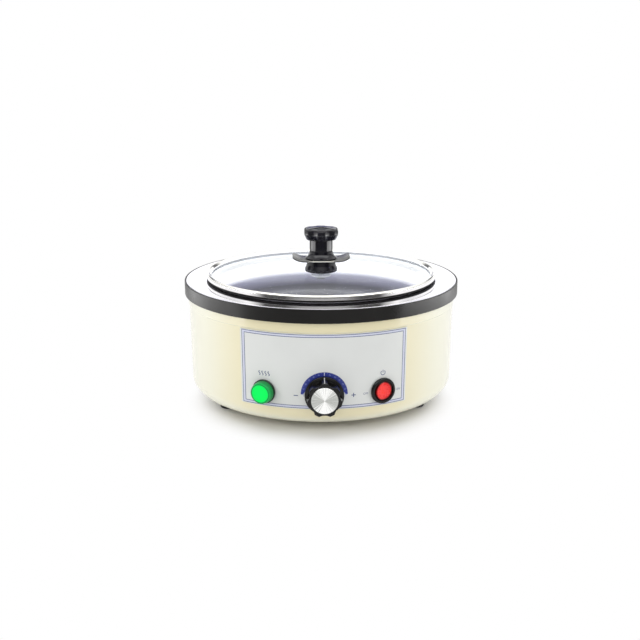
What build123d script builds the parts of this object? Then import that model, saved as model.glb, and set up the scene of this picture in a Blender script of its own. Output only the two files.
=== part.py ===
# Tissue flotation bath: a heated round water bath with a glass lid, for floating tissue sections.
# Millimetres, +Z up. The origin is on the bench, under the middle of the bath, and the controls face -Y.
import os
from math import asin, cos, degrees, radians, sin, sqrt, tan

from build123d import *

os.makedirs("parts", exist_ok=True)

# Clearances and edge breaks used on many pieces
RUNNING_GAP = 0.05
HOLE_GAP = 0.25
SEAT_GAP = 0.2
EDGE_BREAK = 0.3

# Collar band, which gives the object its largest diameter
BAND_RADIUS = 125.0
BAND_HEIGHT = 12.0
BAND_LIP = 1.1
BAND_LIP_GAP = 0.3
BAND_SKIRT_DEPTH = 2.0
BAND_SKIRT_WALL = 2.6
BAND_SEAT_WIDTH = 12.0
BAND_EDGE_ROUND = 0.5
BAND_CASING_GAP = 0.4

# Outer casing, a drawn shell with a turned-in floor
FOOT_HEIGHT = 6.0
CASING_HEIGHT = 91.0
CASING_WALL = 1.5
CASING_CORNER = 12.0
CASING_DRAFT = 1.0
CASING_JOGGLE = 0.6
CASING_JOGGLE_DEPTH = 10.5
CASING_FLOOR_WIDTH = 37.4

# Bath pan, spun in one piece with its flange
WELL_RADIUS = 98.0
WELL_DEPTH = 40.0
WELL_CORNER = 8.0
PAN_WALL = 2.0
PAN_LIP_ROUND = 1.6
PAN_FLANGE_ROOT = 1.0
FLANGE_EDGE_ROUND = 0.5
GASKET_THICKNESS = 0.6
GASKET_WIDTH = 8.0
GASKET_INSET = 1.0

# Faceplate and the row of controls on it
PLATE_THICKNESS = 0.8
PLATE_GLUE = 0.05
PLATE_HALF_ANGLE = 34.6
PLATE_BOTTOM_Z = 21.2
PLATE_JOGGLE_GAP = 0.7
CONTROLS_RISE = 12.8
LAMP_ANGLE = -24.1
SWITCH_ANGLE = 23.7

# Thermostat behind the faceplate
THERMOSTAT_BOX_WIDTH = 23.4
THERMOSTAT_BOX_HEIGHT = 30.0
THERMOSTAT_BOX_DEPTH = 21.0
THERMOSTAT_BOX_CORNER = 2.5
THERMOSTAT_EAR_SPAN = 34.0
THERMOSTAT_EAR_HEIGHT = 14.0
THERMOSTAT_EAR_THICKNESS = 1.2
THERMOSTAT_EAR_CORNER = 4.0
THERMOSTAT_SCREW_SPACING = 28.0
THERMOSTAT_HEAD_RADIUS = 3.2
THERMOSTAT_HEAD_HEIGHT = 1.0
THERMOSTAT_SCREW_GRIP = 3.0
BUSH_RADIUS = 4.6
BUSH_HOLE_GAP = 0.5
SHAFT_RADIUS = 3.0
SHAFT_FLAT = 0.6
SHAFT_SEAT = 9.0

# Control knob with its cap, index line and set screw
KNOB_REACH = 15.2
KNOB_GAP = 1.0
KNOB_ROOF = 3.5
SKIRT_RADIUS = 16.3
SKIRT_THICKNESS = 2.4
KNOB_RADIUS = 14.8
KNOB_TAPER = 0.3
KNOB_EDGE_ROUND = 0.9
KNOB_ROOT_ROUND = 0.4
FLUTE_COUNT = 7
FLUTE_RADIUS = 7.6
FLUTE_DEPTH = 2.0
CAP_RADIUS = 11.5
CAP_THICKNESS = 1.0
CAP_PROUD = 0.3
CAP_GAP = 0.1
INDEX_WIDTH = 1.1
INDEX_DEPTH = 0.5
INDEX_STOP = 1.2
GRUB_RADIUS = 1.5
GRUB_LENGTH = 6.0
GRUB_HEIGHT = 4.0

# Phial in its pocket under the pan, and the capillary to the thermostat
CAPILLARY_RADIUS = 0.8
CAPILLARY_BEND = 4.0
CAPILLARY_LEAD = 8.0
CAPILLARY_INLET_X = 6.0
CAPILLARY_INLET_RISE = 4.0
PHIAL_RADIUS = 2.6
PHIAL_LENGTH = 36.0
PHIAL_END_ROUND = 1.2
PHIAL_Y = -17.0
POCKET_WALL = 0.7
POCKET_GAP = 0.1
POCKET_LENGTH = 25.0
POCKET_FLANGE = 4.0

# Pilot lamp
LAMP_HOLE_RADIUS = 8.0
LAMP_BEZEL_RADIUS = 10.3
LAMP_BEZEL_HEIGHT = 2.2
LAMP_BEZEL_ROUND = 0.8
LAMP_LENS_RADIUS = 8.8
LAMP_LENS_WALL = 1.2
LAMP_LENS_ROUND = 1.4
LAMP_SPIGOT_DEPTH = 2.5
LAMP_SPIGOT_WALL = 1.0
LAMP_REACH = 8.0
LAMP_BARREL_LENGTH = 27.0
LAMP_BARREL_WALL = 1.2
LAMP_BARREL_FLOOR = 3.0
LAMP_NUT_RADIUS = 11.0
LAMP_NUT_THICKNESS = 4.0
LAMP_NUT_GRIPS = 12
LAMP_NUT_GRIP_RADIUS = 1.2
NEON_RADIUS = 2.6
NEON_TIP_GAP = 2.0

# Power switch, a round snap-in rocker
SWITCH_HOLE_RADIUS = 10.0
SWITCH_BEZEL_RADIUS = 11.1
SWITCH_BEZEL_HEIGHT = 2.4
SWITCH_BEZEL_ROUND = 1.5
SWITCH_BODY_LENGTH = 20.0
SWITCH_POCKET_DEPTH = 7.6
ROCKER_RADIUS = 8.1
ROCKER_GAP = 0.55
ROCKER_TILT = 8.0
ROCKER_PIVOT_DEPTH = 1.6
ROCKER_RISE = 3.0
ROCKER_DROP = 1.4
ROCKER_PIN_RADIUS = 1.2
ROCKER_PIN_REACH = 0.6
CLIP_LENGTH = 4.0
CLIP_HEIGHT = 1.0
CLIP_WIDTH = 6.0
CLIP_ROOT = 0.5

# Spade terminals
TAB_WIDTH = 4.8
TAB_THICKNESS = 0.8
TAB_LENGTH = 8.0
TAB_CORNER = 1.2
TAB_HOLE_RADIUS = 0.9

# Heater stack under the pan
HEATER_INSET = 14.0
HEATER_OPENING = 31.0
HEATER_THICKNESS = 1.6
CLAMP_OVERLAP = 2.0
CLAMP_THICKNESS = 1.5
CLAMP_RIB = 2.0
CLAMP_OPENING_LIP = 1.0
PAD_THICKNESS = 8.0
PAD_GAP = 0.5
PAD_PILLAR_GAP = 0.8
STUD_CIRCLE = 52.0
STUD_LENGTH = 15.0
PILLAR_ACROSS = 8.0
PILLAR_ANGLES = (-90, 30, 150)

# Thermal cut-out on the middle of the pan
CUTOUT_CUP_RADIUS = 8.2
CUTOUT_BODY_RADIUS = 6.9
CUTOUT_BODY_HEIGHT = 8.0
CUTOUT_RING_WIDTH = 2.6
STRAP_THICKNESS = 1.0
STRAP_WIDTH = 12.0
STRAP_SCREW_INSET = 5.0
STRAP_END = 5.0

# Metric fasteners
M4_RADIUS = 2.0
M4_NUT_ACROSS = 7.0
M4_NUT_THICKNESS = 3.2
M4_HEAD_RADIUS = 3.8
M4_HEAD_HEIGHT = 2.2
M4_HEAD_ROUND = 1.2
M4_WASHER_RADIUS = 4.4
M3_RADIUS = 1.5
M3_HEAD_RADIUS = 3.0
M3_HEAD_HEIGHT = 1.6
BASE_SCREW_LENGTH = 12.0
FOOT_SCREW_LENGTH = 9.5
WASHER_THICKNESS = 1.0

# Base plate and feet
BASE_OVERLAP = 6.5
BASE_THICKNESS = 1.4
VENT_COUNT = 24
VENT_LENGTH = 12.0
VENT_WIDTH = 3.0
VENT_INSET = 17.5
VENT_SKIP_ANGLE = 25.0
FOOT_INSET = 20.9
FOOT_RADIUS = 8.6
FOOT_TAPER = 0.8
FOOT_ROUND = 0.8
FOOT_RECESS_RADIUS = 4.6
FOOT_RECESS_DEPTH = 3.4
FOOT_ANGLES = (-33, -147, 90)

# Mains entry at the back
GLAND_Z = 30.0
GLAND_HOLE_RADIUS = 8.1
GLAND_HEX_ACROSS = 22.0
GLAND_HEX_THICKNESS = 4.0
GLAND_BORE_RADIUS = 5.2
GLAND_STUB = 5.5
GLAND_SEAL_LENGTH = 14.0
GLAND_NUT_RADIUS = 9.6
GLAND_NUT_LENGTH = 12.0
GLAND_NUT_GRIP_LENGTH = 7.0
GLAND_NUT_LIP = 2.0
GLAND_MOUTH_GAP = 0.6
GLAND_NUT_GRIPS = 8
GLAND_GRIP_RADIUS = 1.6
GLAND_GRIP_DEPTH = 0.5
GLAND_SHANK_LENGTH = 13.0
GLAND_LOCKNUT_THICKNESS = 4.0
CORD_RADIUS = 3.6

# Terminal block and earth stud on the base plate
BLOCK_LENGTH = 30.0
BLOCK_WIDTH = 16.0
BLOCK_HEIGHT = 14.0
BLOCK_WEB_HEIGHT = 9.0
BLOCK_INSET = 17.0
BLOCK_POLE_SPACING = 10.0
BLOCK_POLE_WIDTH = 7.6
BLOCK_POLE_DEPTH = 12.0
BLOCK_WIRE_RADIUS = 1.9
BLOCK_WIRE_HEIGHT = 5.0
BLOCK_WELL_RADIUS = 1.6
BLOCK_WELL_OFFSET = 3.2
EARTH_X = 24.0
EARTH_LENGTH = 14.0
EARTH_HEAD_HEIGHT = 1.4

# Lid rim, glass and their gasket
LID_OVERLAP = 7.0
LID_GAP = 0.3
RIM_WALL = 0.7
RIM_HEIGHT = 6.3
RIM_LIP_WIDTH = 4.6
RIM_CREST = 1.0
RIM_CREST_WIDTH = 2.4
RIM_ROUND = 1.6
RIM_SKIRT_DEPTH = 4.0
RIM_SKIRT_GAP = 0.8
GLASS_THICKNESS = 3.2
GLASS_GASKET = 0.6
GLASS_EDGE_ROUND = 1.0
GLASS_HOLE_RADIUS = 3.6

# Foot of the lid knob, its seal and the finger guard
KNOB_SEAL_THICKNESS = 0.4
KNOB_SEAL_RADIUS = 11.0
KNOB_BASE_RADIUS = 15.0
KNOB_BASE_TOP_RADIUS = 12.7
KNOB_BASE_HEIGHT = 10.3
KNOB_BASE_HOLLOW = 0.5
KNOB_BASE_BEVEL = 1.0
KNOB_BASE_RIM = 2.0
GUARD_LENGTH = 52.7
GUARD_WIDTH = 27.6
GUARD_THICKNESS = 1.2
GUARD_RISE = 3.4
GUARD_FLAT = 30.0
GUARD_CORNER = 5.0

# Lid knob and the screw that holds it
LID_KNOB_HEIGHT = 29.4
LID_KNOB_CROWN = 1.6
LID_KNOB_FLARE_RADIUS = 14.3
LID_KNOB_FLARE_EDGE = 1.2
LID_KNOB_FLARE_HEIGHT = 8.5
LID_KNOB_NECK_RADIUS = 10.5
LID_KNOB_HEAD_HEIGHT = 11.6
LID_KNOB_HEAD_RADIUS = 16.2
LID_KNOB_HEAD_BASE_RADIUS = 13.8
LID_KNOB_HEAD_SLOPE = 5.0
LID_KNOB_HEAD_ROUND = 2.0
LOBE_COUNT = 6
LOBE_CUT_RADIUS = 8.0
LOBE_CUT_DEPTH = 2.3
LID_SCREW_RADIUS = 2.45
LID_SCREW_HEAD_RADIUS = 4.75
LID_SCREW_HEAD_HEIGHT = 2.8
LID_SCREW_HEAD_ROUND = 1.6
LID_SCREW_END_GAP = 1.0
LID_WASHER_RADIUS = 9.0
INSERT_RADIUS = 4.0
INSERT_LENGTH = 14.0

# Levels that follow from the sizes above
CASING_BOTTOM_Z = FOOT_HEIGHT
CASING_FLOOR_Z = CASING_BOTTOM_Z + CASING_WALL
CASING_TOP_Z = CASING_BOTTOM_Z + CASING_HEIGHT
JOGGLE_Z = CASING_TOP_Z - CASING_JOGGLE_DEPTH
PLATE_TOP_Z = JOGGLE_Z - PLATE_JOGGLE_GAP
CONTROLS_Z = PLATE_BOTTOM_Z + CONTROLS_RISE
BASE_TOP_Z = CASING_BOTTOM_Z
BASE_BOTTOM_Z = BASE_TOP_Z - BASE_THICKNESS
BAND_BOTTOM_Z = CASING_TOP_Z - BAND_SKIRT_DEPTH
FLANGE_TOP_Z = BAND_BOTTOM_Z + BAND_HEIGHT
FLANGE_BOTTOM_Z = FLANGE_TOP_Z - PAN_WALL
SEAT_TOP_Z = FLANGE_BOTTOM_Z - GASKET_THICKNESS
WELL_FLOOR_Z = FLANGE_TOP_Z - WELL_DEPTH
PAN_BOTTOM_Z = WELL_FLOOR_Z - PAN_WALL
HEATER_Z = PAN_BOTTOM_Z - HEATER_THICKNESS
CLAMP_Z = HEATER_Z - CLAMP_THICKNESS
CUTOUT_REAR_Z = CLAMP_Z - CUTOUT_BODY_HEIGHT
NUT_Z = CLAMP_Z - M4_NUT_THICKNESS
PAD_Z = CLAMP_Z - PAD_THICKNESS
PHIAL_Z = PAN_BOTTOM_Z - PHIAL_RADIUS - POCKET_GAP
RIM_BOTTOM_Z = FLANGE_TOP_Z + LID_GAP
RIM_TOP_Z = RIM_BOTTOM_Z + RIM_HEIGHT
GLASS_TOP_Z = RIM_TOP_Z - RIM_CREST - RIM_WALL
GLASS_BOTTOM_Z = GLASS_TOP_Z - GLASS_THICKNESS
WASHER_Z = GLASS_BOTTOM_Z - WASHER_THICKNESS
KNOB_BASE_Z = GLASS_TOP_Z + KNOB_SEAL_THICKNESS
GUARD_Z = KNOB_BASE_Z + KNOB_BASE_HEIGHT
LID_KNOB_Z = GUARD_Z + GUARD_THICKNESS

# Radii that follow from the sizes above
FLANGE_RADIUS = BAND_RADIUS - BAND_LIP - BAND_LIP_GAP
BAND_SEAT_RADIUS = BAND_RADIUS - BAND_SEAT_WIDTH
CASING_BEAD_RADIUS = BAND_RADIUS - BAND_SKIRT_WALL - BAND_CASING_GAP
CASING_TOP_RADIUS = CASING_BEAD_RADIUS - CASING_JOGGLE
CASING_FOOT_RADIUS = CASING_TOP_RADIUS - CASING_DRAFT
CASING_FLOOR_OPENING = CASING_FOOT_RADIUS - CASING_FLOOR_WIDTH
BASE_RADIUS = CASING_FLOOR_OPENING + BASE_OVERLAP
BLOCK_Y = CASING_FLOOR_OPENING - BLOCK_INSET
VENT_CIRCLE = BASE_RADIUS - VENT_INSET
FOOT_CIRCLE = CASING_FOOT_RADIUS - FOOT_INSET
HEATER_RADIUS = WELL_RADIUS - HEATER_INSET
CLAMP_RADIUS = HEATER_RADIUS + CLAMP_OVERLAP
CLAMP_OPENING = HEATER_OPENING - CLAMP_OPENING_LIP
STRAP_SCREW_X = CLAMP_OPENING + STRAP_SCREW_INSET
STRAP_HALF_LENGTH = STRAP_SCREW_X + STRAP_END
LID_RADIUS = WELL_RADIUS + LID_OVERLAP
RIM_OPENING = LID_RADIUS - RIM_LIP_WIDTH
GLASS_RADIUS = LID_RADIUS - RIM_WALL - GLASS_GASKET
LID_BORE_RADIUS = LID_SCREW_RADIUS + RUNNING_GAP
LAMP_BARREL_RADIUS = LAMP_HOLE_RADIUS - HOLE_GAP
SWITCH_BARREL_RADIUS = SWITCH_HOLE_RADIUS - HOLE_GAP
GLAND_SHANK_RADIUS = GLAND_HOLE_RADIUS - HOLE_GAP
M4_HOLE_RADIUS = M4_RADIUS + HOLE_GAP
M4_BORE_RADIUS = M4_RADIUS + RUNNING_GAP
M3_BORE_RADIUS = M3_RADIUS + RUNNING_GAP

BOTTOM = (Align.CENTER, Align.CENTER, Align.MIN)
TOP = (Align.CENTER, Align.CENTER, Align.MAX)


def casing_radius(z):
    """Outer radius of the drafted casing wall at a height."""
    share = (z - CASING_BOTTOM_Z) / (JOGGLE_Z - CASING_BOTTOM_Z)
    return CASING_FOOT_RADIUS + share * CASING_DRAFT


# Where the controls and the gland sit on the drafted wall
WALL_RADIUS = casing_radius(CONTROLS_Z)
PANEL_RADIUS = WALL_RADIUS + PLATE_GLUE + PLATE_THICKNESS + SEAT_GAP
CUTTER_LENGTH = 12.0


def turned(points, radii):
    """A piece turned about Z from an outline of (radius, height) points with a corner radius each."""
    path = FilletPolyline(*points, radius=radii, close=True)
    return revolve(Plane.XZ * make_face(path), Axis.Z)


def disc(radius, bottom, height, hole=0.0):
    """A plain disc or ring that stands on a level."""
    body = Pos(0, 0, bottom) * Cylinder(radius, height, align=BOTTOM)
    if hole:
        body -= Pos(0, 0, bottom) * Cylinder(hole, height, align=BOTTOM)
    return body


def hexagon(across, bottom, height, hole=0.0):
    """A hexagonal nut or pillar, sized across its flats."""
    body = Pos(0, 0, bottom) * extrude(RegularPolygon(across / 2, 6, major_radius=False), height)
    if hole:
        body -= disc(hole, bottom, height)
    return body


def pan_head_screw(head_top, length):
    """A pan-head screw that points up, with its head under a level."""
    low = head_top - M4_HEAD_HEIGHT
    outline = [(0, low), (M4_HEAD_RADIUS, low), (M4_HEAD_RADIUS, head_top), (0, head_top)]
    return turned(outline, [0, M4_HEAD_ROUND, 0, 0]) + disc(M4_RADIUS, head_top, length)


def around(radius, angle):
    """The place on a circle of the plan, by its angle from +X."""
    return Pos(radius * cos(radians(angle)), radius * sin(radians(angle)), 0)


def panel(angle, radius=PANEL_RADIUS, height=CONTROLS_Z):
    """The frame of a control: x to the right, y up and z straight out of the casing."""
    outward = (sin(radians(angle)), -cos(radians(angle)), 0)
    middle = (radius * outward[0], radius * outward[1], height)
    return Plane(middle, x_dir=(cos(radians(angle)), sin(radians(angle)), 0), z_dir=outward)


def wall_chord(half_width, height=CONTROLS_Z):
    """How far from the axis a flat piece sits behind the casing wall, a seat gap clear of its curve."""
    inside = casing_radius(height) - CASING_WALL
    return sqrt(inside**2 - half_width**2) - SEAT_GAP


def panel_hole(radius, angle, height=CONTROLS_Z):
    """A round cutter through the casing wall and the faceplate."""
    return panel(angle, casing_radius(height), height) * Cylinder(radius, CUTTER_LENGTH)


def control_holes(piece):
    """Cut the holes of the thermostat, the lamp and the switch through a piece."""
    piece -= panel_hole(BUSH_RADIUS + BUSH_HOLE_GAP, 0)
    piece -= panel_hole(LAMP_HOLE_RADIUS, LAMP_ANGLE)
    piece -= panel_hole(SWITCH_HOLE_RADIUS, SWITCH_ANGLE)
    for side in (-1, 1):
        screw = panel(0, WALL_RADIUS) * Pos(side * THERMOSTAT_SCREW_SPACING / 2, 0, 0)
        piece -= screw * Cylinder(M4_HOLE_RADIUS, CUTTER_LENGTH)
    return piece


# Casing, collar band and pan


def outer_casing():
    """Drawn shell: floor ring, round corner, drafted wall and the joggled edge inside the collar."""
    bottom, top, wall = CASING_BOTTOM_Z, CASING_TOP_Z, CASING_WALL
    foot, upper, bead = CASING_FOOT_RADIUS, CASING_TOP_RADIUS, CASING_BEAD_RADIUS
    joggle_top = JOGGLE_Z + CASING_JOGGLE
    inner_shift = wall / 3
    outline = [
        (CASING_FLOOR_OPENING, bottom),
        (foot, bottom),
        (upper, JOGGLE_Z),
        (bead, joggle_top),
        (bead, top),
        (bead - wall, top),
        (bead - wall, joggle_top + inner_shift),
        (upper - wall, JOGGLE_Z + inner_shift),
        (foot - wall, CASING_FLOOR_Z),
        (CASING_FLOOR_OPENING, CASING_FLOOR_Z),
    ]
    inner_corner = CASING_CORNER - wall
    radii = [0, CASING_CORNER, 0, 0, EDGE_BREAK, EDGE_BREAK, 0, 0, inner_corner, 0]
    shell = control_holes(turned(outline, radii))
    shell -= panel_hole(GLAND_HOLE_RADIUS, 180, GLAND_Z)
    for place in foot_places():
        shell -= place * disc(M4_HOLE_RADIUS, bottom, wall)
    return shell


def collar_band():
    """Moulded ring that caps the casing edge and carries the pan on its inner seat."""
    skirt_inner = CASING_BEAD_RADIUS + BAND_CASING_GAP
    lip_inner = BAND_RADIUS - BAND_LIP
    outline = [
        (BAND_SEAT_RADIUS, CASING_TOP_Z),
        (skirt_inner, CASING_TOP_Z),
        (skirt_inner, BAND_BOTTOM_Z),
        (BAND_RADIUS, BAND_BOTTOM_Z),
        (BAND_RADIUS, FLANGE_TOP_Z),
        (lip_inner, FLANGE_TOP_Z),
        (lip_inner, SEAT_TOP_Z),
        (BAND_SEAT_RADIUS, SEAT_TOP_Z),
    ]
    return turned(outline, [0, 0, EDGE_BREAK, BAND_EDGE_ROUND, BAND_EDGE_ROUND, EDGE_BREAK, 0, 0])


def pan_gasket():
    """Flat ring of silicone between the collar's seat and the pan's flange."""
    outer = FLANGE_RADIUS - GASKET_INSET
    return disc(outer, SEAT_TOP_Z, GASKET_THICKNESS, outer - GASKET_WIDTH)


def bath_pan():
    """The well with its corner, upright wall and polished flange, as one spun shell."""
    outer = WELL_RADIUS + PAN_WALL
    outline = [
        (0, PAN_BOTTOM_Z),
        (outer, PAN_BOTTOM_Z),
        (outer, FLANGE_BOTTOM_Z),
        (FLANGE_RADIUS, FLANGE_BOTTOM_Z),
        (FLANGE_RADIUS, FLANGE_TOP_Z),
        (WELL_RADIUS, FLANGE_TOP_Z),
        (WELL_RADIUS, WELL_FLOOR_Z),
        (0, WELL_FLOOR_Z),
    ]
    outer_corner = WELL_CORNER + PAN_WALL
    edges = [PAN_FLANGE_ROOT, EDGE_BREAK, FLANGE_EDGE_ROUND, PAN_LIP_ROUND]
    return turned(outline, [0, outer_corner, *edges, WELL_CORNER, 0])


# Heater stack under the pan


def stud_places():
    """The three places where studs, nuts, pillars and base screws line up."""
    return [around(STUD_CIRCLE, angle) for angle in PILLAR_ANGLES]


def strap_screw_places():
    """The two places of the strap's screws."""
    return [Pos(side * STRAP_SCREW_X, 0, 0) for side in (-1, 1)]


def pan_studs():
    """Three weld studs on the underside of the pan."""
    stud = disc(M4_RADIUS, PAN_BOTTOM_Z - STUD_LENGTH, STUD_LENGTH)
    return [place * stud for place in stud_places()]


def heater_mat():
    """Silicone heater mat, a flat ring with holes for the studs."""
    mat = disc(HEATER_RADIUS, HEATER_Z, HEATER_THICKNESS, HEATER_OPENING)
    for place in stud_places():
        mat -= place * disc(M4_HOLE_RADIUS, HEATER_Z, HEATER_THICKNESS)
    return mat


def heater_clamp_plate():
    """Pressed plate that holds the mat flat, stiffened by a turned-down edge."""
    plate = disc(CLAMP_RADIUS, CLAMP_Z, CLAMP_THICKNESS, CLAMP_OPENING)
    edge_inner = CLAMP_RADIUS - CLAMP_THICKNESS
    plate += disc(CLAMP_RADIUS, CLAMP_Z - CLAMP_RIB, CLAMP_RIB + CLAMP_THICKNESS, edge_inner)
    for place in stud_places():
        plate -= place * disc(M4_HOLE_RADIUS, CLAMP_Z, CLAMP_THICKNESS)
    for place in strap_screw_places():
        plate -= place * disc(M3_BORE_RADIUS, CLAMP_Z, CLAMP_THICKNESS)
    return plate


def clamp_nuts():
    """Three nuts that press the clamp plate up against the pan."""
    nut = hexagon(M4_NUT_ACROSS, NUT_Z, M4_NUT_THICKNESS, M4_BORE_RADIUS)
    return [place * nut for place in stud_places()]


def support_pillars():
    """Hexagonal pillars that tie the pan studs to the base plate."""
    pillar = hexagon(PILLAR_ACROSS, BASE_TOP_Z, NUT_Z - BASE_TOP_Z, M4_BORE_RADIUS)
    return [place * pillar for place in stud_places()]


def insulation_pad():
    """Glass fibre disc under the clamp plate, cut out round the pillars and the cut-out's strap."""
    outer = CLAMP_RADIUS - CLAMP_THICKNESS - PAD_GAP
    pad = disc(outer, PAD_Z, PAD_THICKNESS, STRAP_HALF_LENGTH + PAD_GAP)
    pillar_corner = PILLAR_ACROSS / 2 / cos(radians(30))
    for place in stud_places():
        pad -= place * disc(pillar_corner + PAD_PILLAR_GAP, PAD_Z, PAD_THICKNESS)
    return pad


def thermal_cutout():
    """Disc cut-out: a metal cup against the pan on a moulded body."""
    cup_height = PAN_BOTTOM_Z - CLAMP_Z
    cup = disc(CUTOUT_CUP_RADIUS, CLAMP_Z, cup_height)
    return cup + disc(CUTOUT_BODY_RADIUS, CUTOUT_REAR_Z, CUTOUT_BODY_HEIGHT)


def cutout_strap():
    """Strap screwed under the clamp plate, with a ring that holds the cut-out's cup to the pan."""
    low = CLAMP_Z - STRAP_THICKNESS
    strap = Pos(0, 0, CLAMP_Z) * Box(2 * STRAP_HALF_LENGTH, STRAP_WIDTH, STRAP_THICKNESS, align=TOP)
    strap += disc(CUTOUT_BODY_RADIUS + CUTOUT_RING_WIDTH, low, STRAP_THICKNESS)
    strap -= disc(CUTOUT_BODY_RADIUS + RUNNING_GAP, low, STRAP_THICKNESS)
    for place in strap_screw_places():
        strap -= place * disc(M3_BORE_RADIUS, low, STRAP_THICKNESS)
    return strap


def strap_screws():
    """Two small screws through the strap into the clamp plate."""
    head_z = CLAMP_Z - STRAP_THICKNESS
    screw = disc(M3_RADIUS, head_z, STRAP_THICKNESS + CLAMP_THICKNESS)
    screw += disc(M3_HEAD_RADIUS, head_z - M3_HEAD_HEIGHT, M3_HEAD_HEIGHT)
    return [place * screw for place in strap_screw_places()]


# Base plate and feet


def base_plate():
    """Vented plate under the casing floor, held up by the pillars."""
    plate = disc(BASE_RADIUS, BASE_BOTTOM_Z, BASE_THICKNESS)
    slot = extrude(SlotOverall(VENT_LENGTH, VENT_WIDTH), BASE_THICKNESS)
    for index in range(VENT_COUNT):
        angle = 360 * index / VENT_COUNT
        under_block = abs(angle - 90) < VENT_SKIP_ANGLE
        if not under_block:
            plate -= Rot(0, 0, angle) * Pos(VENT_CIRCLE, 0, BASE_BOTTOM_Z) * slot
    for place in stud_places():
        plate -= place * disc(M4_HOLE_RADIUS, BASE_BOTTOM_Z, BASE_THICKNESS)
    for place in block_screw_places():
        plate -= place * disc(M3_BORE_RADIUS, BASE_BOTTOM_Z, BASE_THICKNESS)
    return plate - earth_place() * disc(M4_BORE_RADIUS, BASE_BOTTOM_Z, BASE_THICKNESS)


def base_screws():
    """Three screws through the base plate into the pillars."""
    screw = pan_head_screw(BASE_BOTTOM_Z, BASE_SCREW_LENGTH)
    return [place * screw for place in stud_places()]


def foot_places():
    """The three places of the feet."""
    return [around(FOOT_CIRCLE, angle) for angle in FOOT_ANGLES]


def rubber_feet():
    """Three moulded feet with a recess that hides the screw head."""
    outline = [
        (M4_HOLE_RADIUS, FOOT_RECESS_DEPTH),
        (FOOT_RECESS_RADIUS, FOOT_RECESS_DEPTH),
        (FOOT_RECESS_RADIUS, 0),
        (FOOT_RADIUS - FOOT_TAPER, 0),
        (FOOT_RADIUS, FOOT_HEIGHT),
        (M4_HOLE_RADIUS, FOOT_HEIGHT),
    ]
    foot = turned(outline, [0, 0, EDGE_BREAK, FOOT_ROUND, EDGE_BREAK, 0])
    return [place * foot for place in foot_places()]


def foot_screws():
    """One screw up through each foot into the casing floor."""
    screw = pan_head_screw(FOOT_RECESS_DEPTH, FOOT_SCREW_LENGTH)
    return [place * screw for place in foot_places()]


def foot_nuts():
    """Nuts inside the casing on the feet screws."""
    nut = hexagon(M4_NUT_ACROSS, CASING_FLOOR_Z, M4_NUT_THICKNESS, M4_BORE_RADIUS)
    return [place * nut for place in foot_places()]


# Faceplate


def faceplate():
    """Thin printed plate that follows the drafted casing wall."""
    low = casing_radius(PLATE_BOTTOM_Z) + PLATE_GLUE
    high = casing_radius(PLATE_TOP_Z) + PLATE_GLUE
    section = Polyline(
        (low, PLATE_BOTTOM_Z),
        (low + PLATE_THICKNESS, PLATE_BOTTOM_Z),
        (high + PLATE_THICKNESS, PLATE_TOP_Z),
        (high, PLATE_TOP_Z),
        close=True,
    )
    plate = revolve(Plane.XZ * make_face(section), Axis.Z, 2 * PLATE_HALF_ANGLE)
    return control_holes(Rot(0, 0, -90 - PLATE_HALF_ANGLE) * plate)


# Thermostat and its knob

THERMOSTAT_FRONT = wall_chord(THERMOSTAT_EAR_SPAN / 2)
BUSH_LENGTH = PANEL_RADIUS - THERMOSTAT_FRONT


def thermostat_screw_places():
    """The two places of the thermostat's screws, in the frame of the control."""
    return [Pos(side * THERMOSTAT_SCREW_SPACING / 2, 0, 0) for side in (-1, 1)]


def thermostat_body():
    """Capillary thermostat: ears on the casing wall, a moulded box behind and the bush of the shaft."""
    box_plan = RectangleRounded(THERMOSTAT_BOX_WIDTH, THERMOSTAT_BOX_HEIGHT, THERMOSTAT_BOX_CORNER)
    ear_plan = RectangleRounded(THERMOSTAT_EAR_SPAN, THERMOSTAT_EAR_HEIGHT, THERMOSTAT_EAR_CORNER)
    body = extrude(box_plan, -THERMOSTAT_BOX_DEPTH) + extrude(ear_plan, -THERMOSTAT_EAR_THICKNESS)
    body += disc(BUSH_RADIUS, -THERMOSTAT_EAR_THICKNESS, THERMOSTAT_EAR_THICKNESS + BUSH_LENGTH)
    body -= disc(SHAFT_RADIUS + RUNNING_GAP, -SHAFT_SEAT, SHAFT_SEAT + BUSH_LENGTH)
    for place in thermostat_screw_places():
        body -= place * disc(M4_BORE_RADIUS, -THERMOSTAT_EAR_THICKNESS, THERMOSTAT_EAR_THICKNESS)
    return panel(0, THERMOSTAT_FRONT) * body


def thermostat_screws():
    """Two low-headed screws from the front, hidden behind the knob's skirt."""
    near_edge = THERMOSTAT_SCREW_SPACING / 2 - THERMOSTAT_HEAD_RADIUS
    head_seat = sqrt(PANEL_RADIUS**2 - near_edge**2) - PANEL_RADIUS
    length = BUSH_LENGTH + THERMOSTAT_SCREW_GRIP
    screw = disc(M4_RADIUS, head_seat - length, length)
    screw += disc(THERMOSTAT_HEAD_RADIUS, head_seat, THERMOSTAT_HEAD_HEIGHT)
    return [panel(0) * place * screw for place in thermostat_screw_places()]


def thermostat_shaft():
    """Round shaft with a flat for the knob's set screw."""
    inner = RUNNING_GAP - BUSH_LENGTH - SHAFT_SEAT
    tip = KNOB_REACH - KNOB_ROOF - RUNNING_GAP
    flat = Box(2 * SHAFT_RADIUS, SHAFT_FLAT, tip - KNOB_GAP, align=(Align.CENTER, Align.MIN, Align.MIN))
    shaft = disc(SHAFT_RADIUS, inner, tip - inner)
    return panel(0) * (shaft - Pos(0, -SHAFT_RADIUS, KNOB_GAP) * flat)


SKIRT_TOP = KNOB_GAP + SKIRT_THICKNESS
CAP_BACK = KNOB_REACH + CAP_PROUD - CAP_THICKNESS


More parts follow.
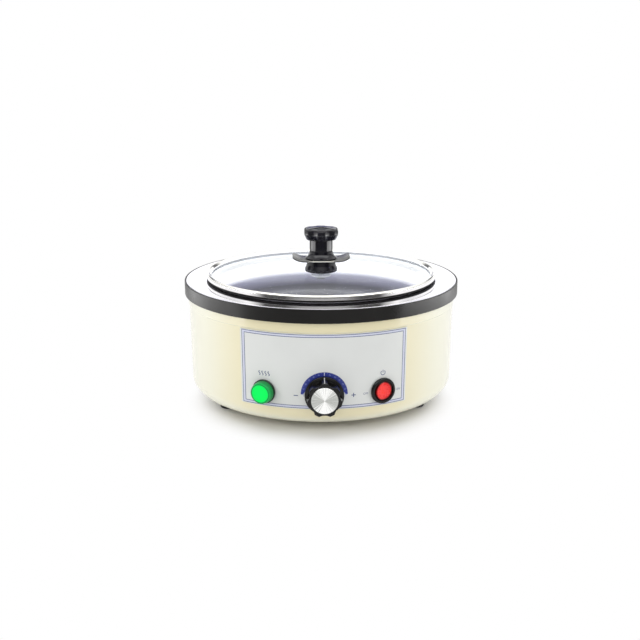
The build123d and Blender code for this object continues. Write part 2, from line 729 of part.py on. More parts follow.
def index_bar():
    """The L-shaped bar of the index line: across the skirt and up the side of the knob."""
    skirt_run = SKIRT_RADIUS - KNOB_RADIUS + KNOB_TAPER + INDEX_DEPTH
    side_run = KNOB_REACH - SKIRT_TOP - INDEX_STOP + INDEX_DEPTH
    outwards = (Align.CENTER, Align.MAX, Align.MAX)
    upwards = (Align.CENTER, Align.MAX, Align.MIN)
    across = Box(INDEX_WIDTH, skirt_run, INDEX_DEPTH, align=outwards)
    side = Box(INDEX_WIDTH, INDEX_DEPTH + KNOB_TAPER, side_run, align=upwards)
    return Pos(0, SKIRT_RADIUS, SKIRT_TOP) * across + Pos(0, KNOB_RADIUS, SKIRT_TOP - INDEX_DEPTH) * side


def knob_form():
    """Skirted knob before its index is let in: a turned form with finger flutes."""
    outline = [
        (0, KNOB_GAP),
        (SKIRT_RADIUS, KNOB_GAP),
        (SKIRT_RADIUS, SKIRT_TOP),
        (KNOB_RADIUS, SKIRT_TOP),
        (KNOB_RADIUS - KNOB_TAPER, KNOB_REACH),
        (0, KNOB_REACH),
    ]
    form = turned(outline, [0, EDGE_BREAK, KNOB_EDGE_ROUND, KNOB_ROOT_ROUND, KNOB_EDGE_ROUND, 0])
    flute_circle = KNOB_RADIUS - FLUTE_DEPTH + FLUTE_RADIUS
    flute = disc(FLUTE_RADIUS, SKIRT_TOP + EDGE_BREAK, KNOB_REACH - SKIRT_TOP)
    for index in range(FLUTE_COUNT):
        form -= around(flute_circle, 270 + 360 * index / FLUTE_COUNT) * flute
    return form


def grub_place():
    """The set screw lies below the shaft, square to its flat."""
    return Plane((0, 0, SKIRT_TOP + GRUB_HEIGHT), x_dir=(1, 0, 0), z_dir=(0, -1, 0))


def control_knob():
    """Black moulded knob with the bore, the cap's recess, the index groove and the set-screw hole."""
    knob = knob_form() - index_bar()
    knob -= disc(SHAFT_RADIUS + RUNNING_GAP, KNOB_GAP, KNOB_REACH - KNOB_ROOF - KNOB_GAP)
    knob -= disc(CAP_RADIUS + CAP_GAP, CAP_BACK, KNOB_REACH - CAP_BACK)
    knob -= grub_place() * disc(GRUB_RADIUS, 0, KNOB_RADIUS)
    return panel(0) * knob


def knob_index():
    """White inlay that fills the index groove flush with the skirt and the side."""
    return panel(0) * (knob_form() & index_bar())


def knob_cap():
    """Spun aluminium cap with a softly broken edge."""
    front = CAP_BACK + CAP_THICKNESS
    outline = [(0, CAP_BACK), (CAP_RADIUS, CAP_BACK), (CAP_RADIUS, front), (0, front)]
    return panel(0) * turned(outline, [0, 0, EDGE_BREAK, 0])


def knob_set_screw():
    """Grub screw that bears on the shaft's flat."""
    start = SHAFT_RADIUS - SHAFT_FLAT + RUNNING_GAP
    return panel(0) * (grub_place() * disc(GRUB_RADIUS - RUNNING_GAP, start, GRUB_LENGTH))


# Phial, its pocket and the capillary


def capillary_and_phial():
    """Copper phial under the pan and the capillary that runs from it to the thermostat."""
    phial = Cylinder(PHIAL_RADIUS, PHIAL_LENGTH)
    phial = fillet(phial.edges().filter_by(GeomType.CIRCLE), PHIAL_END_ROUND)
    phial = Pos(0, PHIAL_Y, PHIAL_Z) * Rot(0, 90, 0) * phial
    end_x = PHIAL_LENGTH / 2
    drop_x = end_x + CAPILLARY_BEND + CAPILLARY_RADIUS
    run_z = CONTROLS_Z + CAPILLARY_INLET_RISE
    rear_y = THERMOSTAT_BOX_DEPTH - THERMOSTAT_FRONT
    route = FilletPolyline(
        (end_x - CAPILLARY_RADIUS, PHIAL_Y, PHIAL_Z),
        (drop_x, PHIAL_Y, PHIAL_Z),
        (drop_x, PHIAL_Y, run_z),
        (CAPILLARY_INLET_X, rear_y + CAPILLARY_LEAD, run_z),
        (CAPILLARY_INLET_X, rear_y, run_z),
        radius=CAPILLARY_BEND,
    )
    tube = sweep(Plane(route @ 0, z_dir=route % 0) * Circle(CAPILLARY_RADIUS), path=route)
    return phial + tube


def phial_pocket():
    """Omega-shaped pocket spot-welded under the pan, which holds the phial."""
    inner = PHIAL_RADIUS + POCKET_GAP
    outer = inner + POCKET_WALL
    depth = PAN_BOTTOM_Z - PHIAL_Z
    saddle = Pos(0, 0, -depth) * Rot(0, 90, 0) * Cylinder(outer, POCKET_LENGTH)
    saddle += Box(POCKET_LENGTH, 2 * outer, depth, align=TOP)
    saddle &= Box(POCKET_LENGTH, 2 * outer, depth + outer, align=TOP)
    saddle += Box(POCKET_LENGTH, 2 * (outer + POCKET_FLANGE), POCKET_WALL, align=TOP)
    saddle -= Pos(0, 0, -depth) * Rot(0, 90, 0) * Cylinder(inner, POCKET_LENGTH)
    saddle -= Box(POCKET_LENGTH, 2 * inner, depth, align=TOP)
    return Pos(0, PHIAL_Y, PAN_BOTTOM_Z) * saddle


# Pilot lamp

LAMP_BORE_RADIUS = LAMP_BARREL_RADIUS - LAMP_BARREL_WALL
LAMP_FLOOR = LAMP_BARREL_FLOOR - LAMP_BARREL_LENGTH


def lamp_bezel():
    """Black bezel ring and the barrel behind it, bored for the neon capsule."""
    outline = [
        (0, -LAMP_BARREL_LENGTH),
        (LAMP_BARREL_RADIUS, -LAMP_BARREL_LENGTH),
        (LAMP_BARREL_RADIUS, 0),
        (LAMP_BEZEL_RADIUS, 0),
        (LAMP_BEZEL_RADIUS, LAMP_BEZEL_HEIGHT),
        (LAMP_BORE_RADIUS, LAMP_BEZEL_HEIGHT),
        (LAMP_BORE_RADIUS, LAMP_FLOOR),
        (0, LAMP_FLOOR),
    ]
    radii = [0, EDGE_BREAK, 0, EDGE_BREAK, LAMP_BEZEL_ROUND, 0, 0, 0]
    return panel(LAMP_ANGLE) * turned(outline, radii)


def lamp_lens():
    """Green cup-shaped lens whose spigot sits in the barrel."""
    spigot = LAMP_BORE_RADIUS - RUNNING_GAP
    spigot_end = LAMP_BEZEL_HEIGHT - LAMP_SPIGOT_DEPTH
    inner = spigot - LAMP_SPIGOT_WALL
    roof = LAMP_REACH - LAMP_LENS_WALL
    outline = [
        (inner, spigot_end),
        (spigot, spigot_end),
        (spigot, LAMP_BEZEL_HEIGHT),
        (LAMP_LENS_RADIUS, LAMP_BEZEL_HEIGHT),
        (LAMP_LENS_RADIUS, LAMP_REACH),
        (0, LAMP_REACH),
        (0, roof),
        (inner, roof),
    ]
    return panel(LAMP_ANGLE) * turned(outline, [0, 0, 0, 0, LAMP_LENS_ROUND, 0, 0, EDGE_BREAK])


def lamp_nut():
    """Plastic nut with gripping notches that holds the lamp from inside."""
    bore = LAMP_BARREL_RADIUS + RUNNING_GAP
    nut = disc(LAMP_NUT_RADIUS, -LAMP_NUT_THICKNESS, LAMP_NUT_THICKNESS, bore)
    notch = disc(LAMP_NUT_GRIP_RADIUS, -LAMP_NUT_THICKNESS, LAMP_NUT_THICKNESS)
    for index in range(LAMP_NUT_GRIPS):
        nut -= around(LAMP_NUT_RADIUS + LAMP_NUT_GRIP_RADIUS / 2, 360 * index / LAMP_NUT_GRIPS) * notch
    return panel(LAMP_ANGLE, wall_chord(LAMP_NUT_RADIUS)) * nut


def neon_capsule():
    """Neon capsule with a round tip, which stands on the floor of the lamp's barrel."""
    tip = LAMP_REACH - LAMP_LENS_WALL - NEON_TIP_GAP
    outline = [(0, LAMP_FLOOR), (NEON_RADIUS, LAMP_FLOOR), (NEON_RADIUS, tip), (0, tip)]
    return panel(LAMP_ANGLE) * turned(outline, [0, EDGE_BREAK, NEON_RADIUS - EDGE_BREAK, 0])


# Power switch

SWITCH_POCKET_RADIUS = ROCKER_RADIUS + ROCKER_GAP
SWITCH_POCKET_FLOOR = SWITCH_BEZEL_HEIGHT - SWITCH_POCKET_DEPTH


def switch_housing():
    """Round rocker housing: bezel, barrel with its pocket, pin holes and two snap clips."""
    barrel = SWITCH_BARREL_RADIUS
    outline = [
        (0, -SWITCH_BODY_LENGTH),
        (barrel, -SWITCH_BODY_LENGTH),
        (barrel, 0),
        (SWITCH_BEZEL_RADIUS, 0),
        (SWITCH_BEZEL_RADIUS, SWITCH_BEZEL_HEIGHT),
        (SWITCH_POCKET_RADIUS, SWITCH_BEZEL_HEIGHT),
        (SWITCH_POCKET_RADIUS, SWITCH_POCKET_FLOOR),
        (0, SWITCH_POCKET_FLOOR),
    ]
    housing = turned(outline, [0, EDGE_BREAK, 0, EDGE_BREAK, SWITCH_BEZEL_ROUND, EDGE_BREAK, 0, 0])
    pin_reach = SWITCH_POCKET_RADIUS + ROCKER_PIN_REACH + SEAT_GAP
    pin_hole = Rot(90, 0, 0) * Cylinder(ROCKER_PIN_RADIUS + RUNNING_GAP, 2 * pin_reach)
    housing -= Pos(0, 0, -ROCKER_PIVOT_DEPTH) * pin_hole
    grip = wall_chord(barrel + CLIP_HEIGHT) - PANEL_RADIUS
    wedge = Polyline(
        (barrel - CLIP_ROOT, grip),
        (barrel + CLIP_HEIGHT, grip),
        (barrel, grip - CLIP_LENGTH),
        (barrel - CLIP_ROOT, grip - CLIP_LENGTH),
        close=True,
    )
    clip = extrude(Plane.XZ * make_face(wedge), CLIP_WIDTH / 2, both=True)
    for turn in (0, 180):
        housing += Rot(0, 0, turn) * clip
    return panel(SWITCH_ANGLE) * housing


def switch_rocker():
    """Red rocker: two faces that meet in a valley, barrel-shaped sides and two pivot pins."""
    rise_at_edge = ROCKER_RADIUS * tan(radians(ROCKER_TILT))
    section = Polyline(
        (-ROCKER_RADIUS, -ROCKER_DROP),
        (ROCKER_RADIUS, -ROCKER_DROP),
        (ROCKER_RADIUS, ROCKER_RISE + rise_at_edge),
        (0, ROCKER_RISE),
        (-ROCKER_RADIUS, ROCKER_RISE + rise_at_edge),
        close=True,
    )
    length = 4 * ROCKER_RADIUS
    rocker = extrude(Plane.XZ * make_face(section), ROCKER_RADIUS, both=True)
    rocker &= Cylinder(ROCKER_RADIUS, length)
    rocker &= Rot(90, 0, 0) * Cylinder(ROCKER_RADIUS + SEAT_GAP, length)
    pin_reach = SWITCH_POCKET_RADIUS + ROCKER_PIN_REACH
    rocker += Rot(90, 0, 0) * Cylinder(ROCKER_PIN_RADIUS, 2 * pin_reach)
    return panel(SWITCH_ANGLE) * Pos(0, 0, -ROCKER_PIVOT_DEPTH) * Rot(0, ROCKER_TILT, 0) * rocker


# Spade terminals


def spade_tab():
    """One flat spade terminal that points inwards."""
    blade = extrude(RectangleRounded(TAB_WIDTH, 2 * TAB_LENGTH, TAB_CORNER), TAB_THICKNESS / 2, both=True)
    blade -= Pos(0, -TAB_LENGTH / 2, 0) * Cylinder(TAB_HOLE_RADIUS, 2 * TAB_THICKNESS)
    blade &= Box(2 * TAB_WIDTH, TAB_LENGTH, TAB_WIDTH, align=(Align.CENTER, Align.MAX, Align.CENTER))
    return Rot(90, 0, 0) * blade


def spade_terminals():
    """Brass spade terminals of the lamp, the switch, the thermostat and the cut-out."""
    tab = spade_tab()
    rows = [
        (panel(LAMP_ANGLE) * Pos(0, 0, -LAMP_BARREL_LENGTH), (-3, 3)),
        (panel(SWITCH_ANGLE) * Pos(0, 0, -SWITCH_BODY_LENGTH), (-5, 0, 5)),
        (panel(0, THERMOSTAT_FRONT) * Pos(0, 0, -THERMOSTAT_BOX_DEPTH), (-9, -3)),
        (Pos(0, 0, CUTOUT_REAR_Z), (-3, 3)),
    ]
    return [rear_face * Pos(0, offset, 0) * tab for rear_face, offsets in rows for offset in offsets]


# Mains entry

GLAND_END = GLAND_HEX_THICKNESS + GLAND_STUB


def gland_frame():
    """The frame of the cord gland, on the outside of the casing at the back."""
    return panel(180, casing_radius(GLAND_Z) + SEAT_GAP, GLAND_Z)


def gland_body():
    """Gland body: hexagon against the casing, threaded shank inside and stub outside."""
    length = GLAND_SHANK_LENGTH + GLAND_END
    body = hexagon(GLAND_HEX_ACROSS, 0, GLAND_HEX_THICKNESS)
    body += disc(GLAND_SHANK_RADIUS, -GLAND_SHANK_LENGTH, length)
    return gland_frame() * (body - disc(GLAND_BORE_RADIUS, -GLAND_SHANK_LENGTH, length))


def gland_seal():
    """Rubber sleeve in the gland, bored for the mains cord."""
    outer = GLAND_BORE_RADIUS - RUNNING_GAP
    return gland_frame() * disc(outer, GLAND_END - GLAND_SEAL_LENGTH, GLAND_SEAL_LENGTH, CORD_RADIUS)


def gland_nut():
    """Dome nut that closes the gland, with gripping flutes round its skirt."""
    start = GLAND_HEX_THICKNESS + SEAT_GAP
    end = start + GLAND_NUT_LENGTH
    thread = GLAND_SHANK_RADIUS + RUNNING_GAP
    mouth = CORD_RADIUS + GLAND_MOUTH_GAP
    outline = [
        (thread, start),
        (GLAND_NUT_RADIUS, start),
        (GLAND_NUT_RADIUS, start + GLAND_NUT_GRIP_LENGTH),
        (mouth + GLAND_NUT_LIP, end),
        (mouth, end),
        (mouth, end - GLAND_NUT_LIP),
        (thread, GLAND_END + SEAT_GAP),
    ]
    nut = turned(outline, [0, EDGE_BREAK, GLAND_NUT_LENGTH / 3, EDGE_BREAK, 0, 0, 0])
    flute_circle = GLAND_NUT_RADIUS - GLAND_GRIP_DEPTH + GLAND_GRIP_RADIUS
    flute = disc(GLAND_GRIP_RADIUS, start + EDGE_BREAK, GLAND_NUT_GRIP_LENGTH)
    for index in range(GLAND_NUT_GRIPS):
        nut -= around(flute_circle, 360 * index / GLAND_NUT_GRIPS) * flute
    return gland_frame() * nut


def gland_locknut():
    """Hexagonal nut on the gland's shank, inside the casing."""
    corner = GLAND_HEX_ACROSS / 2 / cos(radians(30))
    bore = GLAND_SHANK_RADIUS + RUNNING_GAP
    nut = hexagon(GLAND_HEX_ACROSS, -GLAND_LOCKNUT_THICKNESS, GLAND_LOCKNUT_THICKNESS, bore)
    return panel(180, wall_chord(corner, GLAND_Z), GLAND_Z) * nut


# Terminal block and earth stud


def block_screw_places():
    """Between the poles of the terminal block."""
    return [Pos(side * BLOCK_POLE_SPACING / 2, BLOCK_Y, 0) for side in (-1, 1)]


def terminal_block():
    """Three-pole terminal block with humped poles, wire holes and screw wells."""
    block = Pos(0, BLOCK_Y, BASE_TOP_Z) * Box(BLOCK_LENGTH, BLOCK_WIDTH, BLOCK_WEB_HEIGHT, align=BOTTOM)
    hump = Box(BLOCK_POLE_WIDTH, BLOCK_POLE_DEPTH, BLOCK_HEIGHT, align=BOTTOM)
    wire_hole = Pos(0, 0, BLOCK_WIRE_HEIGHT) * Rot(90, 0, 0) * Cylinder(BLOCK_WIRE_RADIUS, BLOCK_WIDTH)
    well = disc(BLOCK_WELL_RADIUS, BLOCK_WIRE_HEIGHT, BLOCK_HEIGHT)
    for pole in (-1, 0, 1):
        place = Pos(pole * BLOCK_POLE_SPACING, BLOCK_Y, BASE_TOP_Z)
        block += place * hump
        block -= place * wire_hole
        for row in (-1, 1):
            block -= place * Pos(0, row * BLOCK_WELL_OFFSET, 0) * well
    for place in block_screw_places():
        block -= place * disc(M3_BORE_RADIUS, BASE_TOP_Z, BLOCK_HEIGHT)
    return block


def block_screws():
    """Two screws that rise through the base plate and the block's webs, with their heads below."""
    screw = disc(M3_RADIUS, BASE_BOTTOM_Z, BASE_THICKNESS + BLOCK_WEB_HEIGHT)
    screw += disc(M3_HEAD_RADIUS, BASE_BOTTOM_Z - M3_HEAD_HEIGHT, M3_HEAD_HEIGHT)
    return [place * screw for place in block_screw_places()]


def earth_place():
    """Where the earth stud stands on the base plate."""
    return Pos(EARTH_X, BLOCK_Y, 0)


def earth_stud():
    """Brass stud through the base plate, its head underneath."""
    stud = disc(M4_HEAD_RADIUS, BASE_BOTTOM_Z - EARTH_HEAD_HEIGHT, EARTH_HEAD_HEIGHT)
    return earth_place() * (stud + disc(M4_RADIUS, BASE_BOTTOM_Z, EARTH_LENGTH))


def earth_nuts():
    """Washer and two nuts on the earth stud."""
    first = BASE_TOP_Z + WASHER_THICKNESS
    second = first + M4_NUT_THICKNESS + SEAT_GAP
    pieces = [disc(M4_WASHER_RADIUS, BASE_TOP_Z, WASHER_THICKNESS, M4_BORE_RADIUS)]
    for level in (first, second):
        pieces.append(hexagon(M4_NUT_ACROSS, level, M4_NUT_THICKNESS, M4_BORE_RADIUS))
    return [earth_place() * piece for piece in pieces]


# Lid


def lid_rim():
    """Rolled steel rim: a channel round the glass and a skirt that locates the lid in the well."""
    wall = RIM_WALL
    outer = LID_RADIUS
    skirt = WELL_RADIUS - RIM_SKIRT_GAP
    skirt_z = RIM_BOTTOM_Z - RIM_SKIRT_DEPTH
    floor = RIM_BOTTOM_Z + wall
    crest = outer - RIM_CREST_WIDTH
    outline = [
        (RIM_OPENING, GLASS_TOP_Z + wall),
        (crest, RIM_TOP_Z),
        (outer, RIM_TOP_Z),
        (outer, RIM_BOTTOM_Z),
        (skirt, RIM_BOTTOM_Z),
        (skirt, skirt_z),
        (skirt - wall, skirt_z),
        (skirt - wall, floor),
        (outer - wall, floor),
        (outer - wall, RIM_TOP_Z - wall),
        (crest, RIM_TOP_Z - wall),
        (RIM_OPENING + RIM_CREST, GLASS_TOP_Z),
        (RIM_OPENING, GLASS_TOP_Z),
    ]
    inner_round = RIM_ROUND - wall
    edge = wall / 3
    outer_radii = [edge, RIM_ROUND, RIM_ROUND, RIM_ROUND, edge, edge, edge]
    return turned(outline, [*outer_radii, wall, inner_round, inner_round, 0, 0, 0])


def lid_gasket():
    """L-shaped silicone gasket under and round the edge of the glass."""
    outer = LID_RADIUS - RIM_WALL - SEAT_GAP
    floor = RIM_BOTTOM_Z + RIM_WALL
    inner_round = RIM_ROUND - RIM_WALL
    top = GLASS_TOP_Z - inner_round
    outline = [
        (RIM_OPENING, floor),
        (outer, floor),
        (outer, top),
        (GLASS_RADIUS, top),
        (GLASS_RADIUS, GLASS_BOTTOM_Z),
        (RIM_OPENING, GLASS_BOTTOM_Z),
    ]
    return turned(outline, [0, inner_round, 0, 0, 0, 0])


def lid_glass():
    """Flat tempered disc with a ground edge and a hole for the knob's screw."""
    outline = [
        (GLASS_HOLE_RADIUS, GLASS_BOTTOM_Z),
        (GLASS_RADIUS, GLASS_BOTTOM_Z),
        (GLASS_RADIUS, GLASS_TOP_Z),
        (GLASS_HOLE_RADIUS, GLASS_TOP_Z),
    ]
    return turned(outline, [EDGE_BREAK, 0, GLASS_EDGE_ROUND, EDGE_BREAK])


def knob_seal():
    """Thin silicone disc between the glass and the knob's foot."""
    return disc(KNOB_SEAL_RADIUS, GLASS_TOP_Z, KNOB_SEAL_THICKNESS, LID_BORE_RADIUS)


def lid_knob_base():
    """Bell-shaped foot of the knob, hollow sided."""
    low = KNOB_BASE_Z
    rim_top = low + KNOB_BASE_RIM
    waist_radius = (KNOB_BASE_RADIUS + KNOB_BASE_TOP_RADIUS) / 2 - KNOB_BASE_HOLLOW
    edges = Polyline(
        (KNOB_BASE_TOP_RADIUS, GUARD_Z),
        (LID_BORE_RADIUS, GUARD_Z),
        (LID_BORE_RADIUS, low),
        (KNOB_BASE_RADIUS - KNOB_BASE_BEVEL, low),
        (KNOB_BASE_RADIUS, low + KNOB_BASE_BEVEL),
        (KNOB_BASE_RADIUS, rim_top),
    )
    side = ThreePointArc(
        (KNOB_BASE_RADIUS, rim_top),
        (waist_radius, (rim_top + GUARD_Z) / 2),
        (KNOB_BASE_TOP_RADIUS, GUARD_Z),
    )
    return revolve(Plane.XZ * make_face(edges + side), Axis.Z)


def finger_guard():
    """Steel plate between foot and knob, with both ends curved up and rounded corners."""
    half_flat = GUARD_FLAT / 2
    reach = GUARD_LENGTH / 2 - half_flat
    bend_radius = (reach**2 + GUARD_RISE**2) / (2 * GUARD_RISE)
    bend_angle = degrees(asin(reach / bend_radius))
    centre = (half_flat, GUARD_Z + bend_radius)
    outer_arc = CenterArc(centre, bend_radius, -90, bend_angle)
    inner_arc = CenterArc(centre, bend_radius - GUARD_THICKNESS, -90, bend_angle)
    flat = Polyline(inner_arc @ 0, (0, LID_KNOB_Z), (0, GUARD_Z), outer_arc @ 0)
    tip = Line(outer_arc @ 1, inner_arc @ 1)
    section = make_face(flat + outer_arc + tip + inner_arc)
    right = extrude(Plane.XZ * section, GUARD_WIDTH / 2, both=True)
    plan = extrude(RectangleRounded(GUARD_LENGTH, GUARD_WIDTH, GUARD_CORNER), 2 * GUARD_Z)
    plate = (right + mirror(right, Plane.YZ)) & plan
    return plate - disc(LID_BORE_RADIUS, GUARD_Z, GUARD_THICKNESS)


def lid_knob():
    """Moulded knob: flared foot, round neck and a six-lobed head that widens upwards."""
    flare_top = LID_KNOB_FLARE_HEIGHT
    head_z = LID_KNOB_HEIGHT - LID_KNOB_HEAD_HEIGHT
    rim_z = LID_KNOB_HEIGHT - LID_KNOB_CROWN
    flare = LID_KNOB_FLARE_RADIUS
    neck = LID_KNOB_NECK_RADIUS
    head = LID_KNOB_HEAD_RADIUS
    sweep_in = ThreePointArc(
        (flare, LID_KNOB_FLARE_EDGE),
        (neck + 0.32 * (flare - neck), 0.42 * flare_top),
        (neck, flare_top),
    )
    stem = Polyline((neck, flare_top), (neck, head_z), (0, head_z), (0, 0), (flare, 0), (flare, LID_KNOB_FLARE_EDGE))
    head_outline = [
        (0, head_z),
        (LID_KNOB_HEAD_BASE_RADIUS, head_z),
        (head, head_z + LID_KNOB_HEAD_SLOPE),
        (head, rim_z),
        (0, LID_KNOB_HEIGHT),
    ]
    round_over = LID_KNOB_HEAD_ROUND
    knob = revolve(Plane.XZ * make_face(stem + sweep_in), Axis.Z)
    knob += turned(head_outline, [0, round_over, LID_KNOB_HEAD_SLOPE, round_over, 0])
    cutter_circle = head - LOBE_CUT_DEPTH + LOBE_CUT_RADIUS
    cutter = disc(LOBE_CUT_RADIUS, head_z, LID_KNOB_HEAD_HEIGHT)
    for index in range(LOBE_COUNT):
        knob -= around(cutter_circle, 360 * index / LOBE_COUNT) * cutter
    knob -= disc(INSERT_RADIUS, 0, INSERT_LENGTH)
    return Pos(0, 0, LID_KNOB_Z) * knob


def knob_insert():
    """Brass insert moulded into the knob, bored for the screw."""
    return disc(INSERT_RADIUS, LID_KNOB_Z, INSERT_LENGTH, LID_BORE_RADIUS)


def lid_washer():
    """Fibre washer between the screw head and the underside of the glass."""
    return disc(LID_WASHER_RADIUS, WASHER_Z, WASHER_THICKNESS, LID_BORE_RADIUS)


def lid_screw():
    """Screw from below through washer, glass, foot and guard into the brass insert."""
    low = WASHER_Z - LID_SCREW_HEAD_HEIGHT
    end = LID_KNOB_Z + INSERT_LENGTH - LID_SCREW_END_GAP
    outline = [(0, low), (LID_SCREW_HEAD_RADIUS, low), (LID_SCREW_HEAD_RADIUS, WASHER_Z), (0, WASHER_Z)]
    return turned(outline, [0, LID_SCREW_HEAD_ROUND, 0, 0]) + disc(LID_SCREW_RADIUS, WASHER_Z, end - WASHER_Z)


PIECES = [
    outer_casing,
    collar_band,
    pan_gasket,
    bath_pan,
    pan_studs,
    heater_mat,
    heater_clamp_plate,
    clamp_nuts,
    support_pillars,
    insulation_pad,
    thermal_cutout,
    cutout_strap,
    strap_screws,
    base_plate,
    base_screws,
    rubber_feet,
    foot_screws,
    foot_nuts,
    faceplate,
    thermostat_body,
    thermostat_screws,
    capillary_and_phial,
    phial_pocket,
    lamp_bezel,
    lamp_lens,
    lamp_nut,
    neon_capsule,
    switch_housing,
    spade_terminals,
    gland_body,
    gland_seal,
    gland_nut,
    gland_locknut,
    terminal_block,
    block_screws,
    earth_stud,
    earth_nuts,
    thermostat_shaft,
    control_knob,
    knob_index,
    knob_cap,
    knob_set_screw,
    switch_rocker,
    lid_rim,
    lid_gasket,
    lid_glass,
    knob_seal,
    lid_knob_base,
    finger_guard,
    lid_knob,
    knob_insert,
    lid_washer,
    lid_screw,
]

for make_piece in PIECES:
    node = make_piece.__name__
    made = make_piece()
    if isinstance(made, list):
        made = Compound(children=[solid for piece in made for solid in piece.solids()])
    export_step(made, f"parts/{node}.step")
    print(node, len(made.solids()), round(made.volume / 1000, 2), "cm3")
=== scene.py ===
# %% [markdown]
# # A tissue flotation bath, finished in Blender
# The object is a small laboratory instrument: a shallow well of warm water, on which thin sections of
# tissue float before they are picked up on a glass slide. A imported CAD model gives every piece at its
# real size and place. This script dresses it: it gives each surface its finish, makes the polished and
# moulded pieces again as smooth meshes where reflections would show facets, prints the faceplate, and
# sets up a plain studio.

# %% Load the frame
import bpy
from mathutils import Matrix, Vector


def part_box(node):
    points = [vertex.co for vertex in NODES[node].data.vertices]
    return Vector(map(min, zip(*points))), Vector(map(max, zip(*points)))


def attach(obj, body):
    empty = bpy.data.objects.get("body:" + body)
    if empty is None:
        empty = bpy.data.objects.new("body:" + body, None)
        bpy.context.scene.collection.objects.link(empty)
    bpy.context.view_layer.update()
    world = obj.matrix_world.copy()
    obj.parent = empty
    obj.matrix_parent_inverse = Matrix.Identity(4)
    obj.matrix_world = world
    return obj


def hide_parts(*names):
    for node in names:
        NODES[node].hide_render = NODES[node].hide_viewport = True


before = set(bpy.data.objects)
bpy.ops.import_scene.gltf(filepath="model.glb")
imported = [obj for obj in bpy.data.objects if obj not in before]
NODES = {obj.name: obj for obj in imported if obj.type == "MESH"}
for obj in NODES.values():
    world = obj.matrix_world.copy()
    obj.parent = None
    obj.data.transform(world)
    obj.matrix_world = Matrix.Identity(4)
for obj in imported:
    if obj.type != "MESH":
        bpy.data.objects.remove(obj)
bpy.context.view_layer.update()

# %% Import Blender's modules
import math

import bmesh
import bpy
from mathutils import Matrix, Vector

MM = 0.001

# %% [markdown]
# ## Measures read from the frame
# Nothing is placed by eye. A piece that is made again below takes its outer sizes from the box of the node
# that it stands for, and radii from the node's own mesh, so that it stays where the real one is.

# %% Read sizes from the nodes


def reach(node, low, high):
    """The largest radius about the Z axis of a node's mesh, between two heights, all in millimetres."""
    spots = [corner.co / MM for corner in NODES[node].data.vertices if low <= corner.co.z / MM <= high]
    return max(math.hypot(spot.x, spot.y) for spot in spots)


def span(node):
    """Lowest and highest level of a node in millimetres."""
    low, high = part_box(node)
    return low.z / MM, high.z / MM


BAND_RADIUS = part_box("collar_band")[1].x / MM
PAN_LOW, FLANGE_TOP = span("bath_pan")
FLANGE_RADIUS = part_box("bath_pan")[1].x / MM
RIM_LOW, RIM_TOP = span("lid_rim")
LID_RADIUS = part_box("lid_rim")[1].x / MM
PLATE_LOW, PLATE_TOP = span("faceplate")
LEVEL_SLACK = 0.1
PLATE_LOW_RADIUS = reach("faceplate", PLATE_LOW - LEVEL_SLACK, PLATE_LOW + LEVEL_SLACK)
PLATE_TOP_RADIUS = reach("faceplate", PLATE_TOP - LEVEL_SLACK, PLATE_TOP + LEVEL_SLACK)
PLATE_HALF_ANGLE = math.asin(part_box("faceplate")[1].x / MM / PLATE_TOP_RADIUS)
print("collar radius", round(BAND_RADIUS, 2), "flange top", round(FLANGE_TOP, 2))
print("plate from", round(PLATE_LOW, 2), "to", round(PLATE_TOP, 2), "mm, half angle",
      round(math.degrees(PLATE_HALF_ANGLE), 2))

# %% [markdown]
# ## A few helpers for node trees
# Every finish below is a node tree. Small helpers keep the trees readable: one starts a material, one adds
# a node with its settings and inputs, and the others stand for what comes again and again: sums, soft
# steps, mixes, noises, relief, and the place of a point on its object.

# %% Helpers for node trees


def start_material(name):
    """An empty material with an output, and its node tree."""
    material = bpy.data.materials.new(name)
    material.use_nodes = True
    tree = material.node_tree
    tree.nodes.clear()
    output = tree.nodes.new("ShaderNodeOutputMaterial")
    return material, tree, output


def opened(material):
    """The tree of a finished material, and its shader."""
    tree = material.node_tree
    return tree, next(node for node in tree.nodes if node.type == "BSDF_PRINCIPLED")


def feed(tree, node, inputs):
    """Fill a node's inputs, given by name or number, with links or values."""
    for key, value in dict(inputs).items():
        socket = node.inputs[key]
        if isinstance(value, bpy.types.NodeSocket):
            tree.links.new(value, socket)
        else:
            socket.default_value = value


def source(node, name):
    """What is linked to a node's input already."""
    return node.inputs[name].links[0].from_socket


def add(tree, kind, inputs=(), **settings):
    """Add a node, set its properties, and fill its inputs."""
    made = tree.nodes.new(kind)
    for key, value in settings.items():
        setattr(made, key, value)
    feed(tree, made, inputs)
    return made


def math_node(tree, operation, *values):
    """The result of a math node."""
    return add(tree, "ShaderNodeMath", enumerate(values), operation=operation).outputs[0]


def sum_of_kind(operation):
    """A function that adds a math node of one kind and gives its result."""
    def made(tree, *values):
        return math_node(tree, operation, *values)
    return made


plus, minus, times, ratio, largest = map(sum_of_kind, ("ADD", "SUBTRACT", "MULTIPLY", "DIVIDE", "MAXIMUM"))


def smooth_step(tree, value, start, end, at_start=0.0, at_end=1.0, shape="SMOOTHSTEP"):
    """A soft change from one level to another as a value goes from start to end."""
    return add(tree, "ShaderNodeMapRange", {
        "Value": value, "From Min": start, "From Max": end, "To Min": at_start, "To Max": at_end,
    }, interpolation_type=shape).outputs[0]


def even_step(tree, value, start, end, at_start=0.0, at_end=1.0):
    """The same change at an even rate."""
    return smooth_step(tree, value, start, end, at_start, at_end, "LINEAR")


def ramp_between(tree, factor, low, high, *stops):
    """A colour ramp between two (position, colour) ends, with optional stops between them."""
    ramp = add(tree, "ShaderNodeValToRGB", {"Fac": factor})
    elements = ramp.color_ramp.elements
    elements[0].position, elements[0].color = low
    elements[1].position, elements[1].color = high
    for position, colour in stops:
        elements.new(position).color = colour
    return ramp.outputs["Color"]


